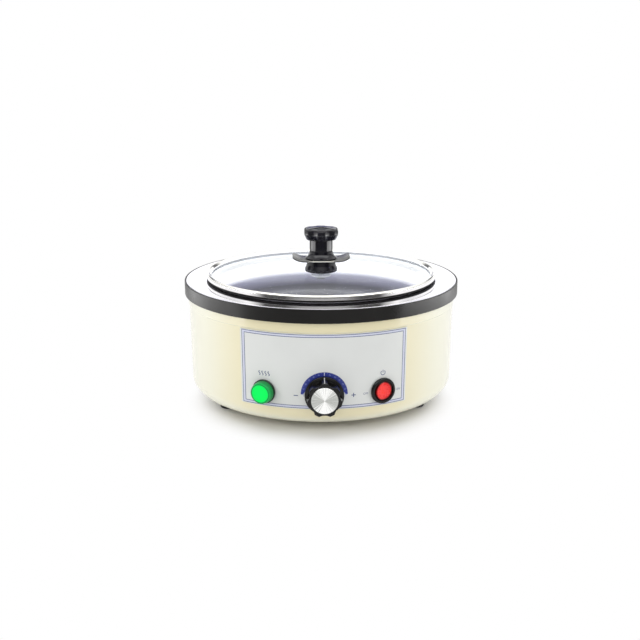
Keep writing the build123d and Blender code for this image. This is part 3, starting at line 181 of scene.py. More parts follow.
def mixed_colour(tree, share, first, second):
    """A first colour that gives way to a second one as a share grows."""
    return add(tree, "ShaderNodeMix", {0: share, 6: first, 7: second}, data_type="RGBA").outputs[2]


def mixed_value(tree, share, first, second):
    """A first number that gives way to a second one as a share grows."""
    return add(tree, "ShaderNodeMix", {0: share, 2: first, 3: second}).outputs[0]


def mixed_shader(tree, share, first, second):
    """A first shader node that gives way to a second one as a share grows."""
    return add(tree, "ShaderNodeMixShader", {0: share, 1: first.outputs[0], 2: second.outputs[0]}).outputs[0]


def parts_of(tree, vector):
    """The three parts of a vector."""
    return add(tree, "ShaderNodeSeparateXYZ", {0: vector}).outputs


def distance_of(tree, *parts):
    """The length of a vector made from its parts."""
    vector = add(tree, "ShaderNodeCombineXYZ", enumerate(parts)).outputs[0]
    return add(tree, "ShaderNodeVectorMath", {0: vector}, operation="LENGTH").outputs["Value"]


def object_place(tree, centre=None):
    """Object coordinates, counted from a centre if there is one."""
    place = add(tree, "ShaderNodeTexCoord").outputs["Object"]
    if centre is None:
        return place
    return add(tree, "ShaderNodeVectorMath", {0: place, 1: centre}, operation="SUBTRACT").outputs[0]


def noise(tree, place, scale, detail):
    """A noise over places."""
    return add(tree, "ShaderNodeTexNoise", {"Vector": place, "Scale": scale, "Detail": detail}).outputs["Fac"]


def raised(tree, height, strength, depth):
    """A relief of a depth in millimetres."""
    return add(tree, "ShaderNodeBump", {"Height": height, "Strength": strength, "Distance": depth * MM}).outputs[0]


def srgb(red, green, blue):
    """A colour written as it looks on a screen, 0 to 255, turned to the linear values that nodes want."""
    def linear(part):
        part /= 255
        return part / 12.92 if part <= 0.04045 else ((part + 0.055) / 1.055) ** 2.4
    return (linear(red), linear(green), linear(blue), 1.0)


def scaled(colour, factor):
    """The same colour, lighter or darker."""
    return (*[min(1.0, part * factor) for part in colour[:3]], 1.0)


# %% [markdown]
# ## One recipe for painted and moulded surfaces
# Paint, rubber and moulded plastic all have the same three things in small amounts: a colour that drifts
# a little from place to place, a gloss that isn't even, and a fine grain in relief. One function makes
# them from two noises on Object coordinates, so a pattern keeps its real size on every piece.

# %% The recipe
NOISE_RANGE = (0.3, 0.7)        # a noise hardly ever leaves this range
SMOOTHEST = 0.02


def finished(tree, output, colour, gloss, bump, sockets):
    """The shader that every finish ends in; sockets are set on the shader itself."""
    shader = add(tree, "ShaderNodeBsdfPrincipled", {
        "Base Color": colour, "Roughness": gloss, "Normal": bump,
        **{key.replace("_", " "): value for key, value in sockets.items()},
    })
    feed(tree, output, {"Surface": shader.outputs["BSDF"]})


def drifting(tree, clouds, colour, drift):
    """A colour that goes up and down with a noise."""
    low, high = NOISE_RANGE
    return ramp_between(tree, clouds, (low, scaled(colour, 1 - drift)), (high, scaled(colour, 1 + drift)))


def uneven_gloss(tree, clouds, roughness, spread):
    """A roughness that goes up and down with a noise."""
    return even_step(tree, clouds, *NOISE_RANGE, max(SMOOTHEST, roughness - spread), roughness + spread)


def grained(name, colour, roughness, drift=0.05, patch=30.0, grain=1500.0, relief=0.02, spread=0.06, **sockets):
    """A surface with drifting colour, uneven gloss and a fine grain."""
    material, tree, output = start_material(name)
    place = object_place(tree)
    clouds = noise(tree, place, patch, 3.0)
    bump = raised(tree, noise(tree, place, grain, 2.0), 0.5, relief)
    finished(tree, output, drifting(tree, clouds, colour, drift), uneven_gloss(tree, clouds, roughness, spread),
             bump, sockets)
    return material


# %% [markdown]
# ## Spun and turned metal
# The pan, the lid's rim and the knob's cap are turned on a lathe, which leaves fine rings round their
# axis. A noise that is read along the radius alone, and hardly round the circle, gives such rings. The
# same noise drives the relief and the gloss, as it does on the real metal.

# %% Turned metal


def ring_lane(tree, place, axis):
    """A vector that changes with the distance from an axis and along it but not round it, and the distance."""
    split = parts_of(tree, place)
    radius = distance_of(tree, *[split[letter] for letter in "XYZ" if letter != axis])
    return add(tree, "ShaderNodeCombineXYZ", {0: radius, 1: split[axis]}).outputs[0], radius


def turned_metal(name, colour, roughness, ring_scale, relief, axis="Z", centre=(0, 0, 0), spread=0.05,
                 drift=0.04, patch=25.0, **sockets):
    """Metal with concentric rings about an axis through a centre."""
    material, tree, output = start_material(name)
    lane, _ = ring_lane(tree, object_place(tree, centre), axis)
    rings = noise(tree, lane, ring_scale, 4.0)
    clouds = noise(tree, object_place(tree), patch, 3.0)
    finished(tree, output, drifting(tree, clouds, colour, drift), uneven_gloss(tree, rings, roughness, spread),
             raised(tree, rings, 0.4, relief), {"Metallic": 1.0, **sockets})
    return material


# %% [markdown]
# ## Finishes of the body
# The casing is a drawn steel shell in cream stove enamel: glossy, with the faint waviness that sprayed
# enamel keeps. The collar is a dark moulding with a satin skin. The rest is the ordinary stock of such
# instruments: plated screws, galvanised sheet, silicone, nylon, brass and copper.

# %% Make the finishes of the body
enamel = grained("cream_enamel", srgb(233, 224, 187), 0.2, drift=0.012, patch=12, grain=230, relief=0.010,
                 spread=0.03, Coat_Weight=0.6, Coat_Roughness=0.05)
collar_black = grained("collar_moulding", srgb(24, 23, 22), 0.32, drift=0.12, grain=1400, relief=0.015,
                       Specular_IOR_Level=0.3)
plate_metal = grained("faceplate_silver", srgb(221, 223, 221), 0.4, drift=0.02, grain=2200, relief=0.01)
rubber = grained("foot_rubber", srgb(32, 32, 33), 0.75, drift=0.15, grain=1200, relief=0.05)
silicone = grained("red_silicone", srgb(158, 62, 48), 0.55, drift=0.1, grain=900, relief=0.03)
# The clear silicone's weak glow is painted light: it lifts the washer and gaskets under the glass out of their
# shade.
clear_silicone = grained("clear_silicone", srgb(226, 227, 232), 0.45, drift=0.05, grain=900, relief=0.02,
                         Emission_Color=srgb(240, 240, 250), Emission_Strength=0.12)
galvanised = grained("galvanised_sheet", srgb(176, 180, 182), 0.38, drift=0.14, patch=160, grain=400,
                     relief=0.01, Metallic=1.0)
zinc = grained("zinc_plating", srgb(196, 198, 200), 0.30, drift=0.08, patch=200, grain=2000, relief=0.008,
               Metallic=1.0)
glass_wool = grained("glass_fibre", srgb(228, 222, 205), 0.92, drift=0.12, patch=120, grain=700, relief=0.6)
black_nylon = grained("black_nylon", srgb(30, 30, 31), 0.38, drift=0.12, grain=1600, relief=0.03)
ivory_nylon = grained("ivory_nylon", srgb(226, 220, 202), 0.45, drift=0.05, grain=1500, relief=0.02)
brass = grained("turned_brass", srgb(214, 178, 106), 0.28, drift=0.08, patch=150, grain=2500, relief=0.01,
                Metallic=1.0)
copper = grained("drawn_copper", srgb(200, 128, 92), 0.30, drift=0.12, patch=120, grain=2500, relief=0.01,
                 Metallic=1.0)
print("body finishes made")

# %% Make the finishes of the lid and the controls
rim_steel = turned_metal("rim_steel", srgb(242, 241, 236), 0.08, 1200.0, 0.002, spread=0.03,
                         Specular_IOR_Level=0.15)
# The guard's steel is a dark grey: painted shade for its ends; its middle gets a painted highlight below.
guard_steel = grained("guard_steel", srgb(118, 118, 115), 0.3, drift=0.06, patch=80, grain=2500, relief=0.004,
                      spread=0.05, Metallic=1.0)
black_gloss = grained("black_moulding", srgb(15, 14, 23), 0.10, drift=0.2, patch=60, grain=900, relief=0.004,
                      spread=0.03, Specular_IOR_Level=0.38)
knob_black = grained("knob_moulding", srgb(14, 13, 13), 0.14, drift=0.2, patch=60, grain=900, relief=0.004,
                     spread=0.03, Specular_IOR_Level=0.3)
bezel_green = grained("bezel_green", srgb(14, 44, 27), 0.25, drift=0.15, patch=90, grain=1500, relief=0.01,
                      Specular_IOR_Level=0.3)
index_white = grained("index_white", srgb(212, 212, 214), 0.5, drift=0.03, grain=2500, relief=0.01)
neon_glass = grained("neon_glass", srgb(230, 214, 196), 0.1, drift=0.05, grain=1500, relief=0.005,
                     Transmission_Weight=0.6)
print("lid and control finishes made")

# %% [markdown]
# ## Two steels that change along the piece
# The rim is crimped over a seal of white silicone, which lines the channel inside, comes out as a soft lip on
# the glass, and hangs down into the well. Outside the seal, below a height, the steel turns black: painted
# shade for the dark gap under the rim's rolled edge. Inside, the silicone carries a weak glow: painted light
# that lifts it out of the shade under the rim. The finger guard's middle, under the knob, is bright cream and
# glossy, a painted highlight; its ends are rougher, and their darker grey is painted shade.

# %% Blend a second look into a steel
PAINTED_SHADE_EDGE = (109.3 * MM, 109.65 * MM)        # heights between which the painted shade gives way to bare steel
LIP_EDGE = (100.55 * MM, 100.75 * MM)           # radii between which the seal's lip ends on the rim
SEAL_SIDE = (101 * MM, 102 * MM)                # radii between which silicone gives way to the painted shade
SEAL_PAINTED_LIGHT = 0.4
PAINTED_HIGHLIGHT_EDGE = (8 * MM, 13 * MM)                  # distances from the guard's middle between which its painted highlight ends


def blended(material, share, colour, roughness, metallic=1.0):
    """Change a metal towards a second look where a share says so."""
    tree, shader = opened(material)
    feed(tree, shader, {
        "Base Color": mixed_colour(tree, share, source(shader, "Base Color"), colour),
        "Roughness": mixed_value(tree, share, source(shader, "Roughness"), roughness),
    })
    if metallic < 1.0:
        feed(tree, shader, {"Metallic": minus(tree, 1.0, times(tree, share, 1.0 - metallic))})


tree, shader = opened(rim_steel)
x, y, z = parts_of(tree, object_place(tree))
radius = distance_of(tree, x, y)
below = smooth_step(tree, z, *PAINTED_SHADE_EDGE, 1.0, 0.0)
seal = largest(tree, below, smooth_step(tree, radius, *LIP_EDGE, 1.0, 0.0))
outside = smooth_step(tree, radius, *SEAL_SIDE)
# white silicone inside; outside, below the height, black painted shade for the gap under the rim
seal_or_painted_shade = mixed_colour(tree, outside, srgb(250, 250, 251), srgb(14, 12, 11))
blended(rim_steel, seal, seal_or_painted_shade, 0.5, metallic=0.0)
# painted light: a weak glow on the silicone inside the rim, where it lies in shade
painted_seal_light = times(tree, times(tree, seal, SEAL_PAINTED_LIGHT), minus(tree, 1.0, outside))
feed(tree, shader, {"Emission Strength": painted_seal_light})

tree, _ = opened(guard_steel)
aside = math_node(tree, "ABSOLUTE", parts_of(tree, object_place(tree))["X"])
# painted highlight: the guard's middle turns bright cream and glossier
blended(guard_steel, smooth_step(tree, aside, *PAINTED_HIGHLIGHT_EDGE, 1.0, 0.0), srgb(236, 233, 220), 0.12)
print("steels blended")

# %% [markdown]
# ## The pan's metal
# One spinning, two surfaces: the flange was polished on the lathe, the well below it was left satin so
# that the water's surface is easy to see. The height decides which, with a short blend in the lip's bend.
# The well is anodised, which dulls its mirror. Its colour runs from mid grey at the floor, with a lavender tint
# part way up, to near white at the top of the wall: painted shade, darker towards the bottom of the well. The
# polished metal throws light down the wall, more to its upper part than to its corner. A path tracer misses
# such light, so a weak glow that fades with depth stands for it: painted light.

# %% Polished and satin aluminium
SATIN_EDGE = ((FLANGE_TOP - 3) * MM, (FLANGE_TOP - 0.6) * MM)
SATIN_ROUGHNESS = 0.3           # added to that of the polished metal
SATIN_OXIDE = 0.92              # how much of the metal's mirror the anodised skin hides
PAINTED_SHADE_HEIGHTS = (66 * MM, 96 * MM)
GLOW_HEIGHTS = (86 * MM, 93 * MM)
WALL_GLOW = 0.8


def pan_metal():
    """Spun aluminium that is polished on the flange and satin in the well."""
    material = turned_metal("spun_aluminium", srgb(240, 239, 247), 0.045, 800.0, 0.0006, spread=0.015)
    tree, shader = opened(material)
    height = parts_of(tree, object_place(tree))["Z"]
    satin = smooth_step(tree, height, *SATIN_EDGE, 1.0, 0.0)
    # painted shade: the well's colour darkens towards its floor
    painted_well_shade = ramp_between(
        tree, even_step(tree, height, *PAINTED_SHADE_HEIGHTS), (0.15, srgb(146, 145, 150)), (0.9, srgb(250, 249, 254)),
        (0.36, srgb(132, 131, 137)), (0.47, srgb(158, 157, 172)), (0.6, srgb(184, 183, 204)),
        (0.7, srgb(204, 203, 224)), (0.8, srgb(240, 239, 250)),
    )
    glow = smooth_step(tree, height, *GLOW_HEIGHTS, 0.0, WALL_GLOW)
    feed(tree, shader, {
        "Base Color": mixed_colour(tree, satin, source(shader, "Base Color"), painted_well_shade),
        "Roughness": plus(tree, source(shader, "Roughness"), times(tree, satin, SATIN_ROUGHNESS)),
        "Metallic": minus(tree, 1.0, times(tree, satin, SATIN_OXIDE)),
        "Emission Strength": times(tree, glow, satin),
        "Emission Color": srgb(250, 249, 255),
    })
    return material


pan_finish = pan_metal()
print("pan finish made")

# %% [markdown]
# ## A sheen painted on the enamel's edge
# Stove enamel is a glossy skin. Where the casing turns away from the eye, a paler cream is mixed into its
# colour: a painted sheen for the gloss's reflection. The angle to the eye, from a Layer Weight node, mixes the two
# creams.

# %% Painted sheen on the enamel's edge
SHEEN_FACING = (0.12, 0.6)       # how far a surface has turned away where the painted sheen begins and ends
SHEEN_MOST = 0.9


def painted_sheen_edge(material, pale):
    """Mix a paler colour in where the surface turns away: a painted sheen."""
    tree, shader = opened(material)
    facing = add(tree, "ShaderNodeLayerWeight", {"Blend": 0.5}).outputs["Facing"]
    share = smooth_step(tree, facing, *SHEEN_FACING, 0.0, SHEEN_MOST)
    feed(tree, shader, {"Base Color": mixed_colour(tree, share, source(shader, "Base Color"), pale)})


painted_sheen_edge(enamel, srgb(238, 237, 219))
print("enamel edge made")

# %% [markdown]
# ## Clear glass
# The lid is one disc of tempered glass. Light has to reach the well through it, but a path tracer finds
# lamps through refracting glass only by chance, which makes the well dark and noisy. So rays that only ask
# whether a lamp is in sight pass straight through. Other rays do so in part as well: clean glass shows the
# well and hardly the knob's mirror image, and the share of real glass says how strong that image is.

# %% Glass of the lid
GLASS_SHARE = 0.05
GLASS_INDEX = 1.5
WIPED = (0.45, 0.8)             # the part of a noise that shows as wiping marks
WIPED_ROUGHNESS = 0.03


def clear_glass(name, tint):
    """Tempered glass that lets lamps through."""
    material, tree, output = start_material(name)
    wipe = noise(tree, object_place(tree), 18.0, 5.0)
    real = add(tree, "ShaderNodeBsdfPrincipled", {
        "Base Color": tint, "Roughness": even_step(tree, wipe, *WIPED, 0.0, WIPED_ROUGHNESS),
        "Transmission Weight": 1.0, "IOR": GLASS_INDEX,
    })
    clear = add(tree, "ShaderNodeBsdfTransparent", {"Color": (0.97, 0.98, 0.98, 1.0)})
    lamp_ray = add(tree, "ShaderNodeLightPath").outputs["Is Shadow Ray"]
    feed(tree, output, {"Surface": mixed_shader(tree, largest(tree, lamp_ray, 1.0 - GLASS_SHARE), real, clear)})
    return material


lid_glass = clear_glass("lid_glass", (0.97, 0.985, 0.98, 1.0))
print("glass made")

# %% [markdown]
# ## Where the controls sit
# Lamp, knob and switch stand square on the curved faceplate, so each has a frame of its own: x to the
# right, y up, z straight out. The plate's radius at a height comes from the two ends of its slope.

# %% Frames of the controls
CONTROLS_Z = 34.0
LAMP_ANGLE = math.radians(-24.1)
SWITCH_ANGLE = math.radians(23.7)
SEAT_GAP = 0.2


def plate_radius(height):
    """Outer radius of the faceplate at a height, in millimetres."""
    share = (height - PLATE_LOW) / (PLATE_TOP - PLATE_LOW)
    return PLATE_LOW_RADIUS + share * (PLATE_TOP_RADIUS - PLATE_LOW_RADIUS)


PANEL_RADIUS = plate_radius(CONTROLS_Z) + SEAT_GAP


def panel_frame(angle, radius=PANEL_RADIUS, height=CONTROLS_Z):
    """Matrix from the millimetres of a control's own frame to the frame of the whole object."""
    outward = Vector((math.sin(angle), -math.cos(angle), 0.0))
    right = Vector((math.cos(angle), math.sin(angle), 0.0))
    up = Vector((0.0, 0.0, 1.0))
    middle = outward * radius + up * height
    axes = Matrix((right, up, outward)).transposed().to_4x4()
    return Matrix.Scale(MM, 4) @ Matrix.Translation(middle) @ axes


print("controls sit at radius", round(PANEL_RADIUS, 3), "mm")

# %% [markdown]
# ## A few helpers for pieces
# Every piece ends the same way: a plain mesh with one finish, smooth but for its sharp edges, that rides
# on its body and stands for its CAD nodes. What a modifier or a curve makes is taken as a mesh first.

# %% Helpers for pieces


def in_scene(name, data):
    """A new object in the scene."""
    holder = bpy.data.objects.new(name, data)
    bpy.context.scene.collection.objects.link(holder)
    return holder


def settled(holder):
    """What an object's modifiers or curve make, as a plain mesh; the object goes."""
    graph = bpy.context.evaluated_depsgraph_get()
    mesh = bpy.data.meshes.new_from_object(holder.evaluated_get(graph), depsgraph=graph)
    bpy.data.objects.remove(holder)
    return mesh


def mesh_from(form, name):
    """A mesh from a finished bmesh, which is freed."""
    mesh = bpy.data.meshes.new(name)
    form.to_mesh(mesh)
    form.free()
    return mesh


def as_object(name, mesh, finish, body, replaced=(), sharp=35.0):
    """Put a finished mesh in the scene, on its body, in place of its CAD nodes."""
    mesh.materials.clear()
    mesh.materials.append(finish)
    mesh.shade_smooth()
    mesh.set_sharp_from_angle(angle=math.radians(sharp))
    piece = in_scene(name, mesh)
    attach(piece, body)
    if replaced:
        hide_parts(*replaced)
    print(name, len(mesh.polygons), "faces")


def bridged(form, lower, upper):
    """Faces between two closed rows of corners; a corner that comes twice in a face counts once."""
    for corners in zip(lower, lower[1:] + lower[:1], upper[1:] + upper[:1], upper):
        unique = list(dict.fromkeys(corners))
        if len(unique) > 2:
            form.faces.new(unique)


# %% [markdown]
# ## Turned pieces
# A mirror-like surface shows every facet and every flat that isn't quite flat. So turned pieces are made
# from an outline with finely rounded corners, with one extra point just beside each rounding: these keep
# the smooth shading inside the rounding and leave the flats flat. One function rounds an outline and one
# turns it. Points on the axis become a single pole, which closes the mesh.

# %% Round an outline and turn it
FINE_TURN, PLAIN_TURN = 256, 128        # faces round a mirror-like piece and round a plainer one
ON_AXIS = 1e-6


def rounded(points, radii, steps=6, support=0.1, closed=True):
    """An outline with its corners rounded, and a support point beside each rounding."""
    count = len(points)
    outline = []
    for index, (point, radius) in enumerate(zip(points, radii)):
        here = Vector(point)
        if not radius or (not closed and index in (0, count - 1)):
            outline.append(here)
            continue
        before = (Vector(points[index - 1]) - here).normalized()
        after = (Vector(points[(index + 1) % count]) - here).normalized()
        half = before.angle(after) / 2
        length = radius / math.tan(half)
        centre = here + (before + after).normalized() * (radius / math.sin(half))
        first, last = here + before * length, here + after * length
        turn = math.pi - 2 * half
        outline.append(first + before * support)
        for step in range(steps + 1):
            weight_first = math.sin((1 - step / steps) * turn) / math.sin(turn)
            weight_last = math.sin(step / steps * turn) / math.sin(turn)
            outline.append(centre + (first - centre) * weight_first + (last - centre) * weight_last)
        outline.append(last + after * support)
    return [(spot.x, spot.y) for spot in outline]


def dense(outline, step):
    """The same outline with points added, so that no two are further apart than a step."""
    result = [outline[0]]
    for start, end in zip(outline, outline[1:]):
        parts = max(1, math.ceil(math.dist(start, end) / step))
        for part in range(1, parts + 1):
            share = part / parts
            result.append((start[0] + (end[0] - start[0]) * share, start[1] + (end[1] - start[1]) * share))
    return result


def turned_mesh(name, outline, segments=PLAIN_TURN, closed=True, matrix=None):
    """Turn an outline of (radius, height) in millimetres about Z; without closed it runs from pole to pole."""
    form = bmesh.new()
    angles = [2 * math.pi * step / segments for step in range(segments)]
    rings = []
    for radius, height in outline:
        if radius < ON_AXIS:
            rings.append([form.verts.new((0.0, 0.0, height))] * segments)
        else:
            rings.append([form.verts.new((radius * math.cos(a), radius * math.sin(a), height)) for a in angles])
    for lower, upper in zip(rings, rings[1:] + (rings[:1] if closed else [])):
        bridged(form, lower, upper)
    bmesh.ops.recalc_face_normals(form, faces=form.faces)
    form.transform(Matrix.Scale(MM, 4) if matrix is None else matrix)
    return mesh_from(form, name)


# %% [markdown]
# ## The pan
# The pan is the most mirror-like piece of all, and its flange catches the lid's rim. On the real object it
# is spun from one disc of aluminium over a former: floor, corner, wall, lip and flange in one piece.

# %% Turn the pan
WELL_RADIUS = 98.0
WELL_FLOOR = 67.0
PAN_WALL = 2.0
LIP_ROUND, CORNER_ROUND, OUTER_CORNER_ROUND = 1.6, 8.0, 10.0
pan_outline = rounded(
    [
        (0, PAN_LOW),
        (WELL_RADIUS + PAN_WALL, PAN_LOW),
        (WELL_RADIUS + PAN_WALL, FLANGE_TOP - PAN_WALL),
        (FLANGE_RADIUS, FLANGE_TOP - PAN_WALL),
        (FLANGE_RADIUS, FLANGE_TOP),
        (WELL_RADIUS, FLANGE_TOP),
        (WELL_RADIUS, WELL_FLOOR),
        (0, WELL_FLOOR),
    ],
    [0, OUTER_CORNER_ROUND, 1.0, 0.3, 0.5, LIP_ROUND, CORNER_ROUND, 0],
    steps=10, closed=False,
)
as_object("spun_pan", turned_mesh("spun_pan", pan_outline, FINE_TURN, closed=False), pan_finish, "bath",
          ["bath_pan"])

# %% [markdown]
# ## The lid's rim
# The rim is rolled from a strip of bright steel round the edge of the glass: a channel with a rounded back,
# a lip that slopes down onto the glass, and a skirt that drops into the well and keeps the lid central.

# %% Turn the rim
RIM_WALL = 0.7
RIM_ROUND = 1.6
LEDGE = RIM_LOW + 4.0
GLASS_BOW = 1.2
rim_opening = LID_RADIUS - 4.6
rim_skirt = WELL_RADIUS - 0.8
rim_crest = LID_RADIUS - 2.4
glass_low, glass_top = span("lid_glass")
glass_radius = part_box("lid_glass")[1].x / MM
glass_rest = glass_top - GLASS_BOW * (rim_opening / glass_radius) ** 2
crest_round, hem_round, inner_round = 1.4, 0.2, 0.9
rim_outline = rounded(
    [
        (rim_opening, glass_rest + RIM_WALL),
        (rim_crest, RIM_TOP),
        (LID_RADIUS, RIM_TOP),
        (LID_RADIUS, LEDGE),
        (rim_skirt, LEDGE),
        (rim_skirt, RIM_LOW),
        (rim_skirt - RIM_WALL, RIM_LOW),
        (rim_skirt - RIM_WALL, LEDGE + RIM_WALL),
        (LID_RADIUS - RIM_WALL, LEDGE + RIM_WALL),
        (LID_RADIUS - RIM_WALL, RIM_TOP - RIM_WALL),
        (rim_crest, RIM_TOP - RIM_WALL),
        (rim_opening + 1.0, glass_rest),
        (rim_opening, glass_rest),
    ],
    [0.23, crest_round, RIM_ROUND, RIM_ROUND, hem_round, hem_round, hem_round, 0.5, inner_round, inner_round,
     0, 0, 0],
    steps=8, support=0.06,
)
as_object("rolled_rim", turned_mesh("rolled_rim", rim_outline, FINE_TURN), rim_steel, "lid", ["lid_rim"],
          sharp=60)

# %% [markdown]
# ## The glass disc
# Tempered glass is never quite flat: it leaves the furnace bowed by about a millimetre. The bow is too
# small to see in the outline, but a mirror doubles every angle, and it is what brings the dark band above
# the backdrop into the near part of the lid. The edge is ground, and the middle is drilled for the screw.

# %% Bow the glass
GLASS_HOLE = 3.6
EDGE_ROUND = 0.9


def bowed_outline(steps=24, edge_steps=10):
    """A flat underside, a rounded edge and a bowed top, from the hole outwards and back."""
    shoulder = glass_radius - EDGE_ROUND
    top = []
    for step in range(steps + 1):
        spot = GLASS_HOLE + (shoulder - GLASS_HOLE) * step / steps
        top.append((spot, glass_top - GLASS_BOW * (spot / glass_radius) ** 2))
    middle = (glass_low + top[-1][1]) / 2
    depth = (top[-1][1] - glass_low) / 2
    turns = [math.pi * step / edge_steps - math.pi / 2 for step in range(1, edge_steps)]
    edge = [(shoulder + EDGE_ROUND * math.cos(a), middle + depth * math.sin(a)) for a in turns]
    return [(GLASS_HOLE, glass_low), (shoulder, glass_low), *edge, *top[::-1]]


as_object("bowed_glass", turned_mesh("bowed_glass", bowed_outline(), FINE_TURN), lid_glass, "lid",
          ["lid_glass"])

# %% [markdown]
# ## Grips with scallops
# Two knobs have a grip that is cut in at equal steps round its edge: seven flutes on the thermostat's knob
# and six hollows on the lid's. A round cutter that steps round the blank gives either, so one Geometry
# Nodes tree stands for that cutter. It takes a plain turned form and draws its edge in to where the
# nearest cut would leave it, and the roundings of the edge are kept. Its inputs are the cutter's sizes.

# %% The cutter as a Geometry Nodes tree


def named_inputs(tree, sizes):
    """Declare a tree's geometry sockets and its named sizes."""
    for side in ("INPUT", "OUTPUT"):
        tree.interface.new_socket("Geometry", in_out=side, socket_type="NodeSocketGeometry")
    for name, value in sizes.items():
        kind = "NodeSocketInt" if isinstance(value, int) else "NodeSocketFloat"
        tree.interface.new_socket(name, in_out="INPUT", socket_type=kind).default_value = value


def end_tree(tree, geometry, finish):
    """Every tree ends the same way: real geometry, and its finish."""
    real = add(tree, "GeometryNodeRealizeInstances", {"Geometry": geometry})
    dressed_mesh = add(tree, "GeometryNodeSetMaterial", {"Geometry": real.outputs[0], "Material": finish})
    add(tree, "NodeGroupOutput", {"Geometry": dressed_mesh.outputs[0]})


def scallop_tree(finish):
    """Draws scallops into a form turned about Z, as a round cutter would."""
    tree = bpy.data.node_groups.new("scallop_cutter", "GeometryNodeTree")
    named_inputs(tree, {
        "Scallops": 7, "Cutter radius": 7.6, "Cutter circle": 20.4, "First angle": 0.0,
        "Start height": 0.0, "Grip radius": 14.8, "Untouched radius": 12.0, "Edge softness": 0.6,
    })
    given = tree.nodes.new("NodeGroupInput").outputs
    grip_radius, untouched = given["Grip radius"], given["Untouched radius"]
    x, y, z = parts_of(tree, add(tree, "GeometryNodeInputPosition").outputs[0])
    radius = distance_of(tree, x, y)
    turn = minus(tree, math_node(tree, "ARCTAN2", y, x), given["First angle"])
    half_step = ratio(tree, math.pi, given["Scallops"])
    nearest = math_node(tree, "WRAP", turn, half_step, times(tree, half_step, -1.0))
    along = times(tree, given["Cutter circle"], math_node(tree, "COSINE", nearest))
    aside = times(tree, given["Cutter circle"], math_node(tree, "SINE", nearest))
    inside = minus(tree, math_node(tree, "POWER", given["Cutter radius"], 2.0), times(tree, aside, aside))
    cut = minus(tree, along, math_node(tree, "SQRT", largest(tree, inside, 0.0)))
    edge = math_node(tree, "SMOOTH_MIN", grip_radius, cut, given["Edge softness"])
    left = ratio(tree, minus(tree, edge, untouched), minus(tree, grip_radius, untouched))
    beyond = largest(tree, minus(tree, radius, untouched), 0.0)
    above = even_step(tree, minus(tree, z, given["Start height"]), 0.0, 0.1)
    drawn_in = times(tree, above, times(tree, beyond, minus(tree, 1.0, left)))
    share = ratio(tree, minus(tree, radius, drawn_in), largest(tree, radius, 0.001))
    moved = add(tree, "ShaderNodeCombineXYZ", {0: times(tree, x, share), 1: times(tree, y, share), 2: z})
    shaped = add(tree, "GeometryNodeSetPosition", {"Geometry": given["Geometry"], "Position": moved.outputs[0]})
    end_tree(tree, shaped.outputs[0], finish)
    return tree


def grown(name, mesh, tree, sizes):
    """Run a tree over a mesh and return the result as a plain mesh."""
    holder = in_scene(name, mesh)
    modifier = holder.modifiers.new("grow", "NODES")
    modifier.node_group = tree
    for item in tree.interface.items_tree:
        if item.item_type == "SOCKET" and item.in_out == "INPUT" and item.name in sizes:
            modifier[item.identifier] = sizes[item.name]
    result = settled(holder)
    result.name = name
    return result


scallops = scallop_tree(black_gloss)
print("cutter has", len(scallops.nodes), "nodes")

# %% [markdown]
# ## The thermostat's knob
# A skirted knob in black plastic: the skirt carries the index line over the dial, and the fingers turn the
# fluted body. The form is turned in its own frame, z outwards, cut by the tree, and then put in place.

# %% Shape the control knob
SKIRT_RADIUS, SKIRT_LOW, SKIRT_TOP = 16.3, 1.0, 3.4
GRIP_RADIUS, GRIP_TAPER, GRIP_END = 14.8, 0.3, 15.2
CAP_RADIUS, CAP_BACK, CAP_FRONT = 11.1, 14.5, 15.5
CAP_GAP = 0.12
FLUTE_RADIUS, FLUTE_DEPTH = 7.6, 2.0
knob_outline = rounded(
    [
        (0, SKIRT_LOW),
        (SKIRT_RADIUS, SKIRT_LOW),
        (SKIRT_RADIUS, SKIRT_TOP),
        (GRIP_RADIUS, SKIRT_TOP),
        (GRIP_RADIUS - GRIP_TAPER, GRIP_END),
        (CAP_RADIUS + CAP_GAP, GRIP_END),
        (CAP_RADIUS + CAP_GAP, CAP_BACK),
        (0, CAP_BACK),
    ],
    [0, 0.3, 0.7, 0.3, 0.9, 0.15, 0, 0],
    steps=6, support=0.08, closed=False,
)
plain_knob = turned_mesh("control_grip", dense(knob_outline, 0.9), 336, closed=False, matrix=Matrix())
grip = grown("control_grip", plain_knob, scallops, {
    "Scallops": 7, "Cutter radius": FLUTE_RADIUS, "Cutter circle": GRIP_RADIUS - FLUTE_DEPTH + FLUTE_RADIUS,
    "First angle": math.radians(270), "Start height": SKIRT_TOP + 0.3, "Grip radius": GRIP_RADIUS,
    "Untouched radius": CAP_RADIUS + 0.4, "Edge softness": 0.5,
})
grip.transform(panel_frame(0))
as_object("control_grip", grip, knob_black, "control_knob", ["control_knob"])

# %% [markdown]
# ## Its index line and its cap
# The white line is an inlay that runs in from the edge of the skirt and on up the side of the grip. It is
# a strip laid along the knob's own outline, a hair proud of it. The cap is a disc of aluminium with a
# bright spun face, whose rings throw the light back as wedges. Part of that comes from an anisotropic gloss
# whose direction goes round the disc. The rest is a painted reflection: the colour dims and brightens twice
# round the disc, with faint streaks of the tool's marks at each angle mixed in.

# %% Lay the index line
INDEX_WIDTH = 0.8
INDEX_PROUD = 0.06


